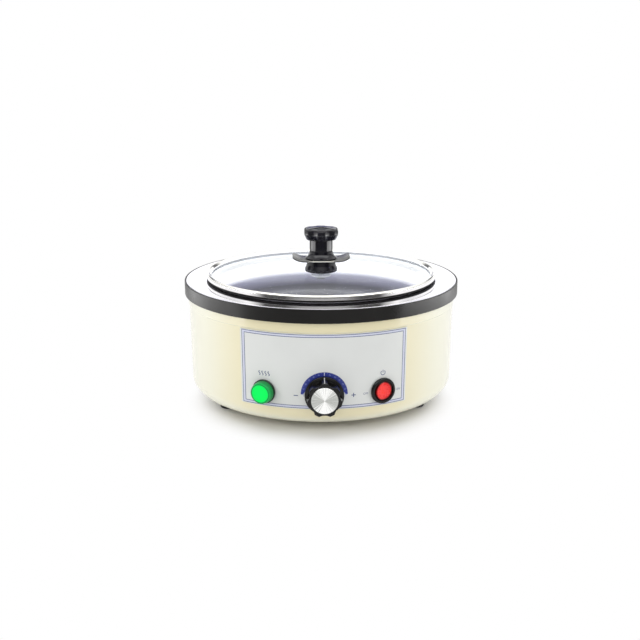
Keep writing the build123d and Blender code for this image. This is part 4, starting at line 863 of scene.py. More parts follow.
def index_mesh():
    """A strip of small thickness along the skirt and the side of the grip."""
    on_skirt = SKIRT_TOP + INDEX_PROUD
    buried = SKIRT_TOP - 0.5
    upper = GRIP_END - 1.2
    path = [
        (SKIRT_RADIUS - 0.45, buried),
        (SKIRT_RADIUS - 0.45, on_skirt),
        (GRIP_RADIUS + 0.3, on_skirt),
        (GRIP_RADIUS + INDEX_PROUD, SKIRT_TOP + 0.3),
        (GRIP_RADIUS - GRIP_TAPER + INDEX_PROUD + 0.02, upper),
        (GRIP_RADIUS - GRIP_TAPER - 0.4, upper),
        (GRIP_RADIUS - 0.5, buried),
    ]
    form = bmesh.new()
    sides = [[form.verts.new((x, y, z)) for y, z in path] for x in (-INDEX_WIDTH / 2, INDEX_WIDTH / 2)]
    form.faces.new(sides[0])
    form.faces.new(sides[1])
    bridged(form, *sides)
    bmesh.ops.recalc_face_normals(form, faces=form.faces)
    bmesh.ops.bevel(form, geom=form.edges[:], offset=0.08, segments=2, affect="EDGES", clamp_overlap=True)
    form.transform(panel_frame(0))
    return mesh_from(form, "index_line")


as_object("index_line", index_mesh(), index_white, "control_knob", ["knob_index"])

# %% Spin the cap
PAINTED_WEDGES = 2.0            # how often the painted reflection goes from bright to dull and back on the way round
PAINTED_WEDGE_STRENGTH = 0.32
STREAKS_ROUND = 9.0


def spun_cap_metal():
    """Bright aluminium with rings that pull the highlights out into wedges, and wedges of painted reflection in its
    colour.
    """
    centre = tuple(panel_frame(0).translation)
    material = turned_metal("spun_cap", srgb(250, 250, 248), 0.2, 2600.0, 0.004, axis="Y", centre=centre,
                            spread=0.04, Anisotropic=0.85)
    tree, shader = opened(material)
    split = parts_of(tree, object_place(tree, centre))
    around = math_node(tree, "ARCTAN2", split["Z"], split["X"])
    streaks = add(tree, "ShaderNodeTexNoise", {
        "W": times(tree, around, STREAKS_ROUND), "Scale": 1.0, "Detail": 2.0,
    }, noise_dimensions="1D").outputs["Fac"]
    # painted reflection: the colour dims and brightens with the angle round the disc
    painted_wedge_light = math_node(tree, "COSINE", times(tree, around, PAINTED_WEDGES))
    level = plus(tree, times(tree, painted_wedge_light, PAINTED_WEDGE_STRENGTH), streaks)
    painted_wedge = smooth_step(tree, level, 0.2, 0.8, 0.0, 0.85)
    feed(tree, shader, {
        "Tangent": add(tree, "ShaderNodeTangent", direction_type="RADIAL", axis="Y").outputs[0],
        "Base Color": mixed_colour(tree, painted_wedge, source(shader, "Base Color"), srgb(182, 184, 179)),
    })
    return material


cap_outline = rounded(
    [(0, CAP_BACK), (CAP_RADIUS, CAP_BACK), (CAP_RADIUS, CAP_FRONT), (0, CAP_FRONT - 0.05)],
    [0, 0.1, 0.35, 0], steps=4, support=0.08, closed=False,
)
cap = turned_mesh("spun_cap", dense(cap_outline, 1.5), closed=False, matrix=panel_frame(0))
as_object("spun_cap", cap, spun_cap_metal(), "control_knob", ["knob_cap"])

# %% [markdown]
# ## The lid's knob
# The knob is turned with a flared foot, a round neck and a wide head, and the same cutter then hollows
# the head at six places. Below the knob comes a plate of steel that keeps the fingers off the hot glass, and a
# bell-shaped foot.

# %% Shape the lid knob
LID_KNOB_LOW, LID_KNOB_TOP = span("lid_knob")
HEAD_LOW = LID_KNOB_TOP - 11.6
HEAD_RADIUS, HEAD_FOOT = 16.2, 13.8
HOLLOW_RADIUS, HOLLOW_DEPTH = 8.0, 2.3
NECK_RADIUS = 10.5
NECK_LOW = LID_KNOB_LOW + 8.5
FLARE_RADIUS = 14.3
FLARE_POWER = 2.6


def flare(top_radius, foot_radius, low, high, steps=14):
    """A hollow curve from a wide foot to a narrow neck, as points of an outline."""
    shares = [step / steps for step in range(steps + 1)]
    return [(top_radius + (foot_radius - top_radius) * (1 - share) ** FLARE_POWER, low + (high - low) * share)
            for share in shares]


head_outline = rounded(
    [(NECK_RADIUS, NECK_LOW), (NECK_RADIUS, HEAD_LOW), (HEAD_FOOT, HEAD_LOW), (HEAD_RADIUS, HEAD_LOW + 5.0),
     (HEAD_RADIUS, LID_KNOB_TOP - 1.6), (0, LID_KNOB_TOP)],
    [0, 0.5, 1.8, 5.0, 2.0, 0], steps=8, closed=False,
)
stem_outline = [(0, LID_KNOB_LOW), (FLARE_RADIUS - 0.4, LID_KNOB_LOW), (FLARE_RADIUS, LID_KNOB_LOW + 0.4)]
stem_outline += flare(NECK_RADIUS, FLARE_RADIUS, LID_KNOB_LOW + 1.1, NECK_LOW)
lid_knob_outline = dense(stem_outline + head_outline[1:], 0.8)
plain_head = turned_mesh("lid_grip", lid_knob_outline, 288, closed=False, matrix=Matrix())
lid_grip = grown("lid_grip", plain_head, scallops, {
    "Scallops": 6, "Cutter radius": HOLLOW_RADIUS, "Cutter circle": HEAD_RADIUS - HOLLOW_DEPTH + HOLLOW_RADIUS,
    "First angle": 0.0, "Start height": HEAD_LOW - 1.0, "Grip radius": HEAD_RADIUS,
    "Untouched radius": NECK_RADIUS, "Edge softness": 0.9,
})
lid_grip.transform(Matrix.Scale(MM, 4))
as_object("lid_grip", lid_grip, black_gloss, "lid", ["lid_knob"])

# %% Turn the knob's bell foot
BELL_LOW, BELL_TOP = span("lid_knob_base")
BELL_RADIUS, BELL_WAIST, BELL_NECK, BELL_BORE = 15.0, 13.4, 12.7, 2.5
bell_outline = rounded(
    [(BELL_BORE, BELL_LOW), (BELL_RADIUS, BELL_LOW), (BELL_RADIUS, BELL_LOW + 2.6),
     (BELL_WAIST, (BELL_LOW + BELL_TOP) / 2 + 1.2), (BELL_NECK, BELL_TOP), (BELL_BORE, BELL_TOP)],
    [0, 1.0, 1.2, 6.0, 0.3, 0], steps=7,
)
as_object("bell_foot", turned_mesh("bell_foot", bell_outline), black_gloss, "lid", ["lid_knob_base"])

# %% [markdown]
# ## Broken edges
# The finger guard and the rocker keep the CAD model's shape, but its edges are sharp, and a sharp edge
# catches no light. A copy of the mesh is welded, its flats are cleared of their inner lines, and a
# bevel breaks each edge. The copy then stands for the node.

# %% Break the edges of the guard
WELD_GAP = 0.002
FLAT_ANGLE = math.radians(1.0)


def edge_broken(node, name, finish, body, width, segments=3, angle=32.0):
    """A copy of a node's mesh with its sharp edges rounded."""
    form = bmesh.new()
    form.from_mesh(NODES[node].data)
    form.transform(Matrix.Scale(1 / MM, 4))
    bmesh.ops.remove_doubles(form, verts=form.verts, dist=WELD_GAP)
    bmesh.ops.dissolve_limit(form, angle_limit=FLAT_ANGLE, verts=form.verts, edges=form.edges)
    holder = in_scene(name, mesh_from(form, name))
    bevel = holder.modifiers.new("edges", "BEVEL")
    bevel.width, bevel.segments, bevel.limit_method = width, segments, "ANGLE"
    bevel.angle_limit = math.radians(angle)
    result = settled(holder)
    result.transform(Matrix.Scale(MM, 4))
    as_object(name, result, finish, body, [node])


edge_broken("finger_guard", "steel_guard", guard_steel, "lid", 0.35)

# %% [markdown]
# ## The pilot lamp's lens and the rocker
# The lens is a cup of green plastic with a neon lamp behind it. Seen from the front it has a bright face
# and a darker wall, because the light leaves through the face. The finish reads the distance from the
# lens's own axis, and fine ribs run up its wall. The rocker is red and lit through a moulded pattern.

# %% The glowing plastics
LENS_REACH = 0.0096             # the distance from the lens's axis, in metres, at which its ramp ends
LENS_RIBS = 48.0
ROCKER_EDGE = (6.5 * MM, 7.7 * MM)


def control_place(tree, angle):
    """Object coordinates turned into a control's own frame, in metres: x right, z up, y into the plate."""
    moved = object_place(tree, tuple(panel_frame(angle).translation))
    return add(tree, "ShaderNodeVectorRotate", {"Vector": moved, "Angle": -angle}, rotation_type="Z_AXIS").outputs[0]


def lens_plastic():
    """Green plastic with a bright face, a darker edge and ribs."""
    material, tree, output = start_material("green_lens")
    place = control_place(tree, LAMP_ANGLE)
    _, radius = ring_lane(tree, place, "Y")
    split = parts_of(tree, place)
    around = math_node(tree, "ARCTAN2", split["Z"], split["X"])
    ribs = math_node(tree, "SINE", times(tree, around, LENS_RIBS))
    spot = plus(tree, radius, times(tree, noise(tree, place, 900.0, 2.0), 0.0006))
    face = ramp_between(
        tree, ratio(tree, spot, LENS_REACH), (0.0, srgb(0, 232, 92)), (1.0, srgb(26, 118, 60)),
        (0.72, srgb(0, 224, 84)), (0.78, srgb(30, 214, 100)), (0.84, srgb(6, 92, 46)), (0.92, srgb(30, 168, 82)),
    )
    finished(tree, output, face, 0.16, raised(tree, ribs, 0.5, 0.03), {
        "Emission_Color": face, "Emission_Strength": 0.3, "Specular_IOR_Level": 0.15,
    })
    return material


def rocker_plastic():
    """Red plastic lit from behind through a moulded pattern of small cells."""
    material, tree, output = start_material("red_rocker")
    place = control_place(tree, SWITCH_ANGLE)
    cells = add(tree, "ShaderNodeTexVoronoi", {"Vector": place, "Scale": 900.0, "Randomness": 0.4})
    _, radius = ring_lane(tree, place, "Y")
    cloudy = plus(tree, times(tree, noise(tree, place, 420.0, 3.0), 0.4), times(tree, radius, 40.0))
    pattern = plus(tree, times(tree, cells.outputs["Distance"], 0.3), cloudy)
    lit = ramp_between(tree, pattern, (0.3, srgb(232, 40, 24)), (0.85, srgb(196, 18, 20)),
                       (0.5, srgb(230, 62, 60)), (0.65, srgb(214, 30, 30)))
    glow = mixed_colour(tree, smooth_step(tree, radius, *ROCKER_EDGE), lit, srgb(58, 6, 5))
    finished(tree, output, glow, 0.22, raised(tree, pattern, 0.5, 0.06), {
        "Emission_Color": glow, "Emission_Strength": 0.22, "Specular_IOR_Level": 0.3,
    })
    return material


lens_finish = lens_plastic()
rocker_finish = rocker_plastic()
print("glowing plastics made")

# %% Turn the lens, and break the rocker's edges
LENS_RADIUS, LENS_FOOT, LENS_FRONT = 8.8, 9.6, 8.0
LENS_BORE, LENS_STEM, LENS_BACK, LENS_SHOULDER, LENS_INSIDE = 5.5, 6.5, -0.3, 2.2, 6.8
GROOVE_OUTER, GROOVE_MIDDLE, GROOVE_INNER, GROOVE_DEPTH = 7.3, 7.1, 6.9, 0.3
lens_outline = rounded(
    [(LENS_BORE, LENS_BACK), (LENS_STEM, LENS_BACK), (LENS_STEM, LENS_SHOULDER), (LENS_FOOT, LENS_SHOULDER),
     (LENS_RADIUS, LENS_FRONT), (GROOVE_OUTER, LENS_FRONT), (GROOVE_MIDDLE, LENS_FRONT - GROOVE_DEPTH),
     (GROOVE_INNER, LENS_FRONT - 0.05), (0, LENS_FRONT), (0, LENS_INSIDE), (LENS_BORE, LENS_INSIDE)],
    [0, 0, 0, 0.2, 1.1, 0.1, 0.1, 0.1, 0, 0, 0.4], steps=5, support=0.06,
)
lens = turned_mesh("green_lens", lens_outline, matrix=panel_frame(LAMP_ANGLE))
as_object("green_lens", lens, lens_finish, "bath", ["lamp_lens"])
edge_broken("switch_rocker", "red_rocker", rocker_finish, "power_rocker", 0.3)

# %% [markdown]
# ## Printing on a curved plate
# The print is a skin of ink on a plate that curves round the casing. Each mark is drawn flat, in
# millimetres along the curve and up the plate, then cut at every millimetre of its width so that it can
# bend, and wrapped on the plate's surface a few hundredths proud. The plate carries plain signs alone: a
# dial with figures, a minus and a plus, signs for heat and power, and OFF and ON beside the switch.

# %% Wrap a flat mark on the plate
INK_RISE = 0.03
CUT_SLACK = 1e-5
MITRE_LIMIT = 0.4


def wrap_on_plate(form, rise):
    """Bend a flat drawing in millimetres round the plate."""
    spots = [corner.co.x for corner in form.verts]
    for cut in range(math.floor(min(spots)), math.ceil(max(spots)) + 1):
        geometry = form.verts[:] + form.edges[:] + form.faces[:]
        bmesh.ops.bisect_plane(form, geom=geometry, plane_co=(cut, 0, 0), plane_no=(1, 0, 0), dist=CUT_SLACK)
    for corner in form.verts:
        along, height = corner.co.x, corner.co.y
        radius, turn = plate_radius(height) + rise, along / plate_radius(height)
        corner.co = Vector((radius * math.sin(turn), -radius * math.cos(turn), height))


def printed(name, form, finish, layer=1):
    """Make a wrapped mark from a flat drawing, with every face turned outwards; inks lie in layers."""
    bmesh.ops.triangulate(form, faces=form.faces[:])
    wrap_on_plate(form, layer * INK_RISE)
    form.normal_update()
    for face in form.faces:
        outward = face.calc_center_median()
        outward.z = 0
        if face.normal.dot(outward) < 0:
            face.normal_flip()
    form.transform(Matrix.Scale(MM, 4))
    as_object(name, mesh_from(form, name), finish, "bath")


def ribbon(form, rows, closed=False):
    """Faces between rows of two corners."""
    for (low, high), (next_low, next_high) in zip(rows, rows[1:] + (rows[:1] if closed else [])):
        form.faces.new([low, next_low, next_high, high])


def strip(form, points, width, closed=False):
    """A line of a width through points, with mitred corners."""
    spots = [Vector(point) for point in points]
    count = len(spots)
    rows = []
    for index, spot in enumerate(spots):
        before = spots[index - 1] if (closed or index) else spot
        after = spots[(index + 1) % count] if (closed or index < count - 1) else spot
        steps = [step.normalized() for step in (spot - before, after - spot) if step.length > 1e-9]
        along = sum(steps, Vector((0, 0))).normalized()
        side = Vector((-along.y, along.x))
        stretch = 1 / max(MITRE_LIMIT, abs(side.dot(Vector((-steps[0].y, steps[0].x)))))
        rows.append([form.verts.new((*(spot + side * sign * width / 2 * stretch), 0)) for sign in (-1, 1)])
    ribbon(form, rows, closed)


def drawing_of(lines=(), width=0.7, closed=False, meshes=()):
    """A flat drawing of lines of one width, and of ready meshes."""
    form = bmesh.new()
    for line in lines:
        strip(form, line, width, closed)
    for mesh in meshes:
        form.from_mesh(mesh)
    return form


# %% Inks
INK = {"patch": 90, "grain": 2500, "relief": 0.004}
ink_blue = grained("blue_ink", srgb(38, 52, 140), 0.45, drift=0.08, **INK)
ink_border = grained("border_ink", srgb(66, 80, 126), 0.45, drift=0.08, **INK)
ink_lavender = grained("lavender_ink", srgb(208, 211, 228), 0.45, drift=0.03, **INK)
ink_white = grained("white_ink", srgb(226, 230, 244), 0.5, drift=0.03, **INK)
ink_pale = grained("pale_blue_ink", srgb(128, 144, 208), 0.5, drift=0.03, **INK)
print("five inks")

# %% [markdown]
# ## The frame round the plate
# Two thin blue lines with a paler band between them run close to the plate's edge. The plate leans
# outwards a little as it rises, so the corners take their width from the plate's radius at their height.

# %% Print the frame
BORDER_LINE = 0.5
BORDER_OUTER = (0.8, 1.8)
BORDER_INNER = (2.8, 4.2)


def frame_corners(inset, side_inset):
    """The corners of a rectangle inside the plate's edge, with an inset of its own at the sides."""
    low, high = PLATE_LOW + inset, PLATE_TOP - inset
    return [(side * (PLATE_HALF_ANGLE * plate_radius(level) - side_inset), level)
            for side, level in ((-1, low), (1, low), (1, high), (-1, high))]


border_outside = frame_corners(*BORDER_OUTER)
border_inside = frame_corners(*BORDER_INNER)
drawing = bmesh.new()
bridged(drawing, *[[drawing.verts.new((*spot, 0)) for spot in ring] for ring in (border_outside, border_inside)])
printed("frame_band", drawing, ink_lavender)
for part, ring in (("outer_line", border_outside), ("inner_line", border_inside)):
    printed(f"frame_{part}", drawing_of([ring], BORDER_LINE, closed=True), ink_border, layer=2)

# %% [markdown]
# ## The dial
# A blue half ring lies round the knob's skirt, from nine o'clock over the top to three o'clock, and carries
# pale marks and figures in degrees. The marks repeat at equal steps along an arc, so a Geometry Nodes
# tree sets them out: an arc, resampled to the number of marks, with a small bar on each point.

# %% Print the half ring
DIAL_INNER, DIAL_OUTER = 14.6, 19.5


def on_dial(radius, angle):
    """A point of the flat drawing at a distance from the knob's axis and an angle from the right."""
    return radius * math.cos(angle), CONTROLS_Z + radius * math.sin(angle)


def half_ring(form, inner, outer, steps=72):
    """A half ring round the knob's axis, from the left over the top to the right."""
    angles = [math.pi * (1 - step / steps) for step in range(steps + 1)]
    ribbon(form, [[form.verts.new((*on_dial(size, angle), 0)) for size in (inner, outer)] for angle in angles])


drawing = bmesh.new()
half_ring(drawing, DIAL_INNER, DIAL_OUTER)
printed("dial_ring", drawing, ink_blue)

# %% Set out the dial's marks with Geometry Nodes
MARKS = {"Marks": 25, "Radius": 18.9, "Length": 0.8, "Width": 0.2}
MIDDLE_MARK_FROM = 16.4


def marks_tree(finish):
    """Bars at equal steps along a half circle."""
    tree = bpy.data.node_groups.new("dial_marks", "GeometryNodeTree")
    named_inputs(tree, MARKS)
    given = tree.nodes.new("NodeGroupInput").outputs
    arc = add(tree, "GeometryNodeCurveArc", {
        "Radius": given["Radius"], "Start Angle": 0.0, "Sweep Angle": math.pi, "Resolution": 96,
    })
    spaced = add(tree, "GeometryNodeResampleCurve", {"Curve": arc.outputs[0], "Count": given["Marks"]})
    bar = add(tree, "GeometryNodeMeshGrid", {
        "Size X": given["Width"], "Size Y": given["Length"], "Vertices X": 2, "Vertices Y": 2,
    })
    heading = add(tree, "GeometryNodeInputTangent").outputs[0]
    turned = add(tree, "FunctionNodeAlignRotationToVector", {"Vector": heading}, axis="X", pivot_axis="Z")
    marks = add(tree, "GeometryNodeInstanceOnPoints", {
        "Points": spaced.outputs[0], "Instance": bar.outputs[0], "Rotation": turned.outputs[0],
    })
    end_tree(tree, marks.outputs[0], finish)
    return tree


marks = grown("dial_marks", bpy.data.meshes.new("dial_marks"), marks_tree(ink_pale), MARKS)
marks.transform(Matrix.Translation((0, CONTROLS_Z, 0)))
printed("dial_marks", drawing_of(meshes=[marks]), ink_pale, layer=2)
middle_mark = [(0, CONTROLS_Z + MIDDLE_MARK_FROM), (0, CONTROLS_Z + DIAL_OUTER - 0.2)]
printed("dial_middle_mark", drawing_of([middle_mark], 0.5), ink_white, layer=3)

# %% Letters and figures
FIGURE_SIZE, FIGURE_RADIUS = 1.7, 17.5
COLDEST, DEGREES_A_STEP = 20, 5
STEPS_ROUND = 12
MIDDLE_STEP = 6                 # the middle mark stands there
FIGURE_STEPS = [step for step in range(STEPS_ROUND + 1) if step != MIDDLE_STEP]


def lettering(text, size, place, turn=0.0, bold=0.0):
    """Text as a flat drawing: centred on a place and turned about it."""
    curve = bpy.data.curves.new("lettering", "FONT")
    curve.body, curve.size, curve.align_x, curve.align_y = text, size, "CENTER", "CENTER"
    curve.resolution_u, curve.offset = 3, bold
    mesh = settled(in_scene("lettering", curve))
    mesh.transform(Matrix.Translation((*place, 0)) @ Matrix.Rotation(turn, 4, "Z"))
    return mesh


figures = []
for step in FIGURE_STEPS:
    angle = math.pi * (1 - step / STEPS_ROUND)
    figures.append(lettering(str(COLDEST + DEGREES_A_STEP * step), FIGURE_SIZE, on_dial(FIGURE_RADIUS, angle),
                             angle - math.pi / 2, bold=0.02))
printed("dial_figures", drawing_of(meshes=figures), ink_pale, layer=2)

# %% [markdown]
# ## Signs beside the controls
# The sign for heat is four wavy lines, the sign for power is a broken ring with a stroke, and the dial's
# ends carry a minus and a plus. The switch has OFF and ON beside it.

# %% Print the signs
LAMP_X = plate_radius(CONTROLS_Z) * LAMP_ANGLE
SWITCH_X = plate_radius(CONTROLS_Z) * SWITCH_ANGLE
SIGN_Z = CONTROLS_Z + 15.6
WAVE_PLACES = (-4.2, -1.4, 1.4, 4.2)
WAVE_HEIGHT, WAVE_SWING, WAVE_STEPS = 3.8, 0.6, 16
POWER_RADIUS, POWER_STROKE, POWER_LINE = 2.0, 2.4, 0.6
POWER_OPENING = (130, 410)              # the ring's two ends, in degrees from the right
MINUS_X, PLUS_X, SIGN_HALF = -23.6, 24.4, 1.8
WORD_SIZE, OFF_PLACE, ON_PLACE = 2.6, -15.4, 15.2


def wave_points(place):
    """Points up a wavy line."""
    return [(place + WAVE_SWING * math.sin(step / WAVE_STEPS * 2 * math.pi),
             SIGN_Z - WAVE_HEIGHT / 2 + WAVE_HEIGHT * step / WAVE_STEPS) for step in range(WAVE_STEPS + 1)]


def arc_points(centre, radius, start, end, steps=20):
    """Points along an arc, from a start angle to an end angle in degrees."""
    angles = [math.radians(start + (end - start) * step / steps) for step in range(steps + 1)]
    return [(centre[0] + radius * math.cos(a), centre[1] + radius * math.sin(a)) for a in angles]


heat_lines = [wave_points(LAMP_X + place) for place in WAVE_PLACES]
printed("heat_sign", drawing_of(heat_lines), ink_border)
power_lines = [arc_points((SWITCH_X, SIGN_Z), POWER_RADIUS, *POWER_OPENING),
               [(SWITCH_X, SIGN_Z), (SWITCH_X, SIGN_Z + POWER_STROKE)]]
printed("power_sign", drawing_of(power_lines, POWER_LINE), ink_border)
level = CONTROLS_Z - 1.2
minus_and_plus = [[(MINUS_X - SIGN_HALF, level), (MINUS_X + SIGN_HALF, level)],
                  [(PLUS_X - SIGN_HALF, level), (PLUS_X + SIGN_HALF, level)],
                  [(PLUS_X, level - SIGN_HALF), (PLUS_X, level + SIGN_HALF)]]
words = [lettering("OFF", WORD_SIZE, (SWITCH_X + OFF_PLACE, CONTROLS_Z - 1.0)),
         lettering("ON", WORD_SIZE, (SWITCH_X + ON_PLACE, level))]
printed("small_signs", drawing_of(minus_and_plus, meshes=words), ink_border)

# %% [markdown]
# ## Dress the CAD pieces
# A CAD node whose shape is already right keeps its mesh and only gets a finish. The table says which.

# %% Give each node its finish
FINISHES = {
    enamel: ["outer_casing"],
    collar_black: ["collar_band"],
    pan_finish: ["bath_pan"],
    plate_metal: ["faceplate"],
    silicone: ["pan_gasket", "heater_mat"],
    clear_silicone: ["knob_seal", "lid_gasket", "lid_washer"],
    galvanised: ["heater_clamp_plate", "base_plate", "phial_pocket"],
    zinc: ["pan_studs", "clamp_nuts", "support_pillars", "cutout_strap", "strap_screws", "base_screws",
           "foot_screws", "foot_nuts", "thermostat_screws", "block_screws", "thermostat_shaft",
           "knob_set_screw", "lid_screw"],
    glass_wool: ["insulation_pad"],
    rubber: ["rubber_feet", "gland_seal"],
    black_nylon: ["thermal_cutout", "lamp_nut", "gland_body", "gland_nut", "gland_locknut"],
    bezel_green: ["lamp_bezel"],
    ivory_nylon: ["thermostat_body", "terminal_block"],
    copper: ["capillary_and_phial"],
    brass: ["spade_terminals", "earth_stud", "earth_nuts", "knob_insert"],
    neon_glass: ["neon_capsule"],
    lens_finish: ["lamp_lens"],
    rocker_finish: ["switch_rocker"],
    knob_black: ["control_knob", "switch_housing"],
    black_gloss: ["lid_knob", "lid_knob_base"],
    index_white: ["knob_index"],
    rim_steel: ["knob_cap", "lid_rim"],
    guard_steel: ["finger_guard"],
    lid_glass: ["lid_glass"],
}
for finish, names in FINISHES.items():
    for node_name in names:
        mesh = NODES[node_name].data
        mesh.materials.clear()
        mesh.materials.append(finish)
dressed = [node_name for names in FINISHES.values() for node_name in names]
print("dressed", len(dressed), "nodes; left over:", sorted(set(NODES) - set(dressed)))

# %% [markdown]
# ## The studio
# The floor is a plain pale disc. Near the object it is an ordinary matt surface that takes its shadow, and
# further out it turns to plain white for the camera, as a sweep of paper does. Only reflections see the
# rest of the room. Behind the object hangs a low white backdrop with a dark band just above it, and the
# room is white again overhead: so the flat metal and the glass, which mirror them, run from white at the
# far side to dark grey at the near side, as they do in the photograph. A small dark patch low down behind
# gives the crown of the lid's knob its tone. On the camera's side the room and the far floor are dark
# round the lens, the floor is bright to both sides, and a large soft box hangs above the lens. All of it
# is fixed in the world and stays put in every view.

# %% Floor
FLOOR_RADIUS = 4.0
FLOOR_FORWARD = 0.03                    # how far in front of the object the paper's matt part is centred
PAPER_EDGE = (0.088, 0.125)             # distances between which the paper turns white
BEHIND_LEVEL, SIDE_LEVEL, LENS_LEVEL, FAR_LEVEL = 0.4, 7.0, 0.2, 0.5
BEHIND_EDGE, LENS_EDGE = (-0.75, -0.25), (0.42, 0.56)       # cosines of the angle from the camera's side
WHITE_REACH, WHITE_REACH_LENS, WHITE_FADE = 0.44, 0.34, 0.09
FAR_EDGE = (0.78, 0.86)


def ray_kinds(tree):
    """What kind of ray asks, and 1 if it has been mirrored, or else 0."""
    path = add(tree, "ShaderNodeLightPath").outputs
    return path, math_node(tree, "MINIMUM", path["Glossy Depth"], 1.0)


def towards_camera(tree, y, flat):
    """The cosine of the angle between a direction on the floor and the camera's side."""
    return ratio(tree, times(tree, y, -1.0), flat)


def studio_floor():
    """A round floor that fades to white paper; mirrors see it dark by the lens and bright at the sides."""
    form = bmesh.new()
    bmesh.ops.create_circle(form, cap_ends=True, segments=96, radius=FLOOR_RADIUS)
    floor = in_scene("studio_floor", mesh_from(form, "studio_floor"))
    material, tree, output = start_material("paper_floor")
    x, y, _ = parts_of(tree, object_place(tree))
    fade = smooth_step(tree, distance_of(tree, x, plus(tree, y, FLOOR_FORWARD)), *PAPER_EDGE)
    paper = add(tree, "ShaderNodeBsdfPrincipled", {"Base Color": (0.85, 0.85, 0.85, 1.0), "Roughness": 0.5})
    outward = distance_of(tree, x, y)
    front = towards_camera(tree, y, outward)
    beside = smooth_step(tree, front, *BEHIND_EDGE, BEHIND_LEVEL, SIDE_LEVEL)
    around = smooth_step(tree, front, *LENS_EDGE, beside, LENS_LEVEL)
    beyond = smooth_step(tree, outward, *FAR_EDGE, around, FAR_LEVEL)
    near = smooth_step(tree, front, *LENS_EDGE, WHITE_REACH, WHITE_REACH_LENS)
    mirror_level = smooth_step(tree, outward, near, plus(tree, near, WHITE_FADE), 1.0, beyond)
    path, mirrored = ray_kinds(tree)
    white = add(tree, "ShaderNodeEmission", {
        "Color": (1.0, 1.0, 1.0, 1.0), "Strength": mixed_value(tree, mirrored, 1.0, mirror_level),
    })
    seen = largest(tree, largest(tree, path["Is Camera Ray"], path["Is Glossy Ray"]), path["Is Transmission Ray"])
    feed(tree, output, {"Surface": mixed_shader(tree, times(tree, fade, seen), paper, white)})
    floor.data.materials.append(material)


studio_floor()

# %% Soft lamps
AIM_OF_LAMPS = (0.0, 0.0, 0.07)


def soft_lamp(name, place, width, height, power):
    """A rectangular soft box that faces the object and doesn't show in it."""
    lamp = bpy.data.lights.new(name, "AREA")
    lamp.shape = "RECTANGLE"
    lamp.size, lamp.size_y, lamp.energy = width, height, power
    holder = in_scene(name, lamp)
    holder.location = place
    holder.rotation_euler = (Vector(AIM_OF_LAMPS) - Vector(place)).to_track_quat("-Z", "Y").to_euler()
    holder.visible_glossy = False


soft_lamp("left_box", (-1.1, -0.6, 0.5), 0.55, 0.9, 5.0)
soft_lamp("right_box", (1.1, -0.6, 0.5), 0.55, 0.9, 4.5)
soft_lamp("top_box", (0.0, 0.1, 1.3), 1.2, 1.0, 6.0)

# %% The room that reflections see
PATCH_TOP, PATCH_SIDE = (0.165, 0.178), (0.06, 0.1)         # the dark patch: sine of its height, half width
OVER_LENS = (0.45, 0.62)                                    # where the dark round the lens ends
BEHIND_OBJECT = (-0.35, 0.15)                               # where the camera's side gives way to the backdrop
BOX_LOW, BOX_TOP, BOX_STRENGTH = (0.55, 0.65), (0.86, 0.94), 2.6
MIRROR_GAIN = 0.3                                           # how much brighter the room is than the paper
FILL = 0.62                                                 # the light of the room on matt surfaces


def grey(level, blue=1.0):
    """A grey, or a bluish one."""
    return (level, level, level * blue, 1.0)


def mirror_room(tree):
    """The colour of the room in each direction, and the strength of its soft box."""
    x, y, z = parts_of(tree, add(tree, "ShaderNodeTexCoord").outputs["Generated"])
    flat = distance_of(tree, x, y)
    curtain = ramp_between(tree, z, (0.235, grey(1.0)), (1.0, grey(1.0)), (0.244, grey(0.45, 1.15)),
                           (0.254, grey(0.12, 1.1)), (0.34, grey(0.16, 1.05)), (0.43, grey(1.0)))
    aside = math_node(tree, "ABSOLUTE", ratio(tree, x, flat))
    off_patch = largest(tree, smooth_step(tree, z, *PATCH_TOP), smooth_step(tree, aside, *PATCH_SIDE))
    backdrop = mixed_colour(tree, off_patch, grey(0.1, 2.2), curtain)
    front = towards_camera(tree, y, flat)
    by_the_lens = ramp_between(tree, front, (0.2, grey(1.0)), (1.0, grey(0.34)), (0.42, grey(0.45)),
                               (0.54, grey(0.07)), (0.8, grey(0.07)), (0.94, grey(0.3)))
    camera_side = mixed_colour(tree, smooth_step(tree, z, *OVER_LENS), by_the_lens, grey(1.0))
    behind = smooth_step(tree, ratio(tree, y, flat), *BEHIND_OBJECT)
    box = times(tree, smooth_step(tree, z, *BOX_LOW, 0.0, BOX_STRENGTH), smooth_step(tree, z, *BOX_TOP, 1.0, 0.0))
    return mixed_colour(tree, behind, camera_side, backdrop), times(tree, box, minus(tree, 1.0, behind))


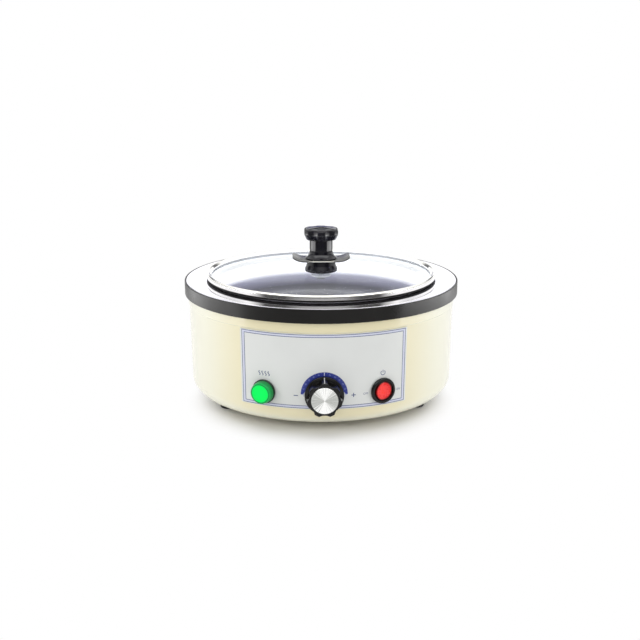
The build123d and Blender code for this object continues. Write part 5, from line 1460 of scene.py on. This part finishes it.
def studio_world():
    """White for the camera and through glass, plain light for matt surfaces, and a room for reflections."""
    world = bpy.data.worlds.new("studio_world")
    bpy.context.scene.world = world
    world.use_nodes = True
    tree = world.node_tree
    tree.nodes.clear()
    output = tree.nodes.new("ShaderNodeOutputWorld")
    room, box = mirror_room(tree)
    path, mirrored = ray_kinds(tree)
    through = largest(tree, path["Is Glossy Ray"], path["Is Transmission Ray"])
    straight = times(tree, minus(tree, 1.0, mirrored),
                     largest(tree, path["Is Camera Ray"], path["Is Transmission Ray"]))
    plain = mixed_colour(tree, straight, grey(FILL), grey(1.0))
    in_mirror = times(tree, mirrored, through)
    sky = add(tree, "ShaderNodeBackground", {
        "Color": mixed_colour(tree, in_mirror, plain, room),
        "Strength": plus(tree, 1.0, times(tree, in_mirror, plus(tree, box, MIRROR_GAIN))),
    })
    feed(tree, output, {"Surface": sky.outputs["Background"]})


studio_world()

# %% [markdown]
# ## The camera
# The photograph was taken from about 0.9 m, looking down 15 degrees, with the front turned a degree. The
# focal length follows from the object's width in the picture.

# %% Camera
PICTURE_SIDE = 640
SENSOR = 36.0
CAMERA_DISTANCE = 0.9
CAMERA_ELEVATION = math.radians(15.03)
CAMERA_AZIMUTH = math.radians(-1.2)
FOCAL_PIXELS = 962.0
AIM = Vector((-0.001, 0.0, 0.0650))


def photo_camera():
    """The camera at the photograph's angle."""
    lens = bpy.data.cameras.new("photo_camera")
    lens.sensor_width = SENSOR
    lens.lens = FOCAL_PIXELS / PICTURE_SIDE * SENSOR
    camera = in_scene("photo_camera", lens)
    flat = CAMERA_DISTANCE * math.cos(CAMERA_ELEVATION)
    camera.location = AIM + Vector((
        flat * math.sin(CAMERA_AZIMUTH),
        -flat * math.cos(CAMERA_AZIMUTH),
        CAMERA_DISTANCE * math.sin(CAMERA_ELEVATION),
    ))
    camera.rotation_euler = (AIM - camera.location).to_track_quat("-Z", "Y").to_euler()
    bpy.context.scene.camera = camera
    return camera


camera = photo_camera()
bpy.context.scene.view_settings.view_transform = "Standard"
print("lens", round(camera.data.lens, 2), "mm")
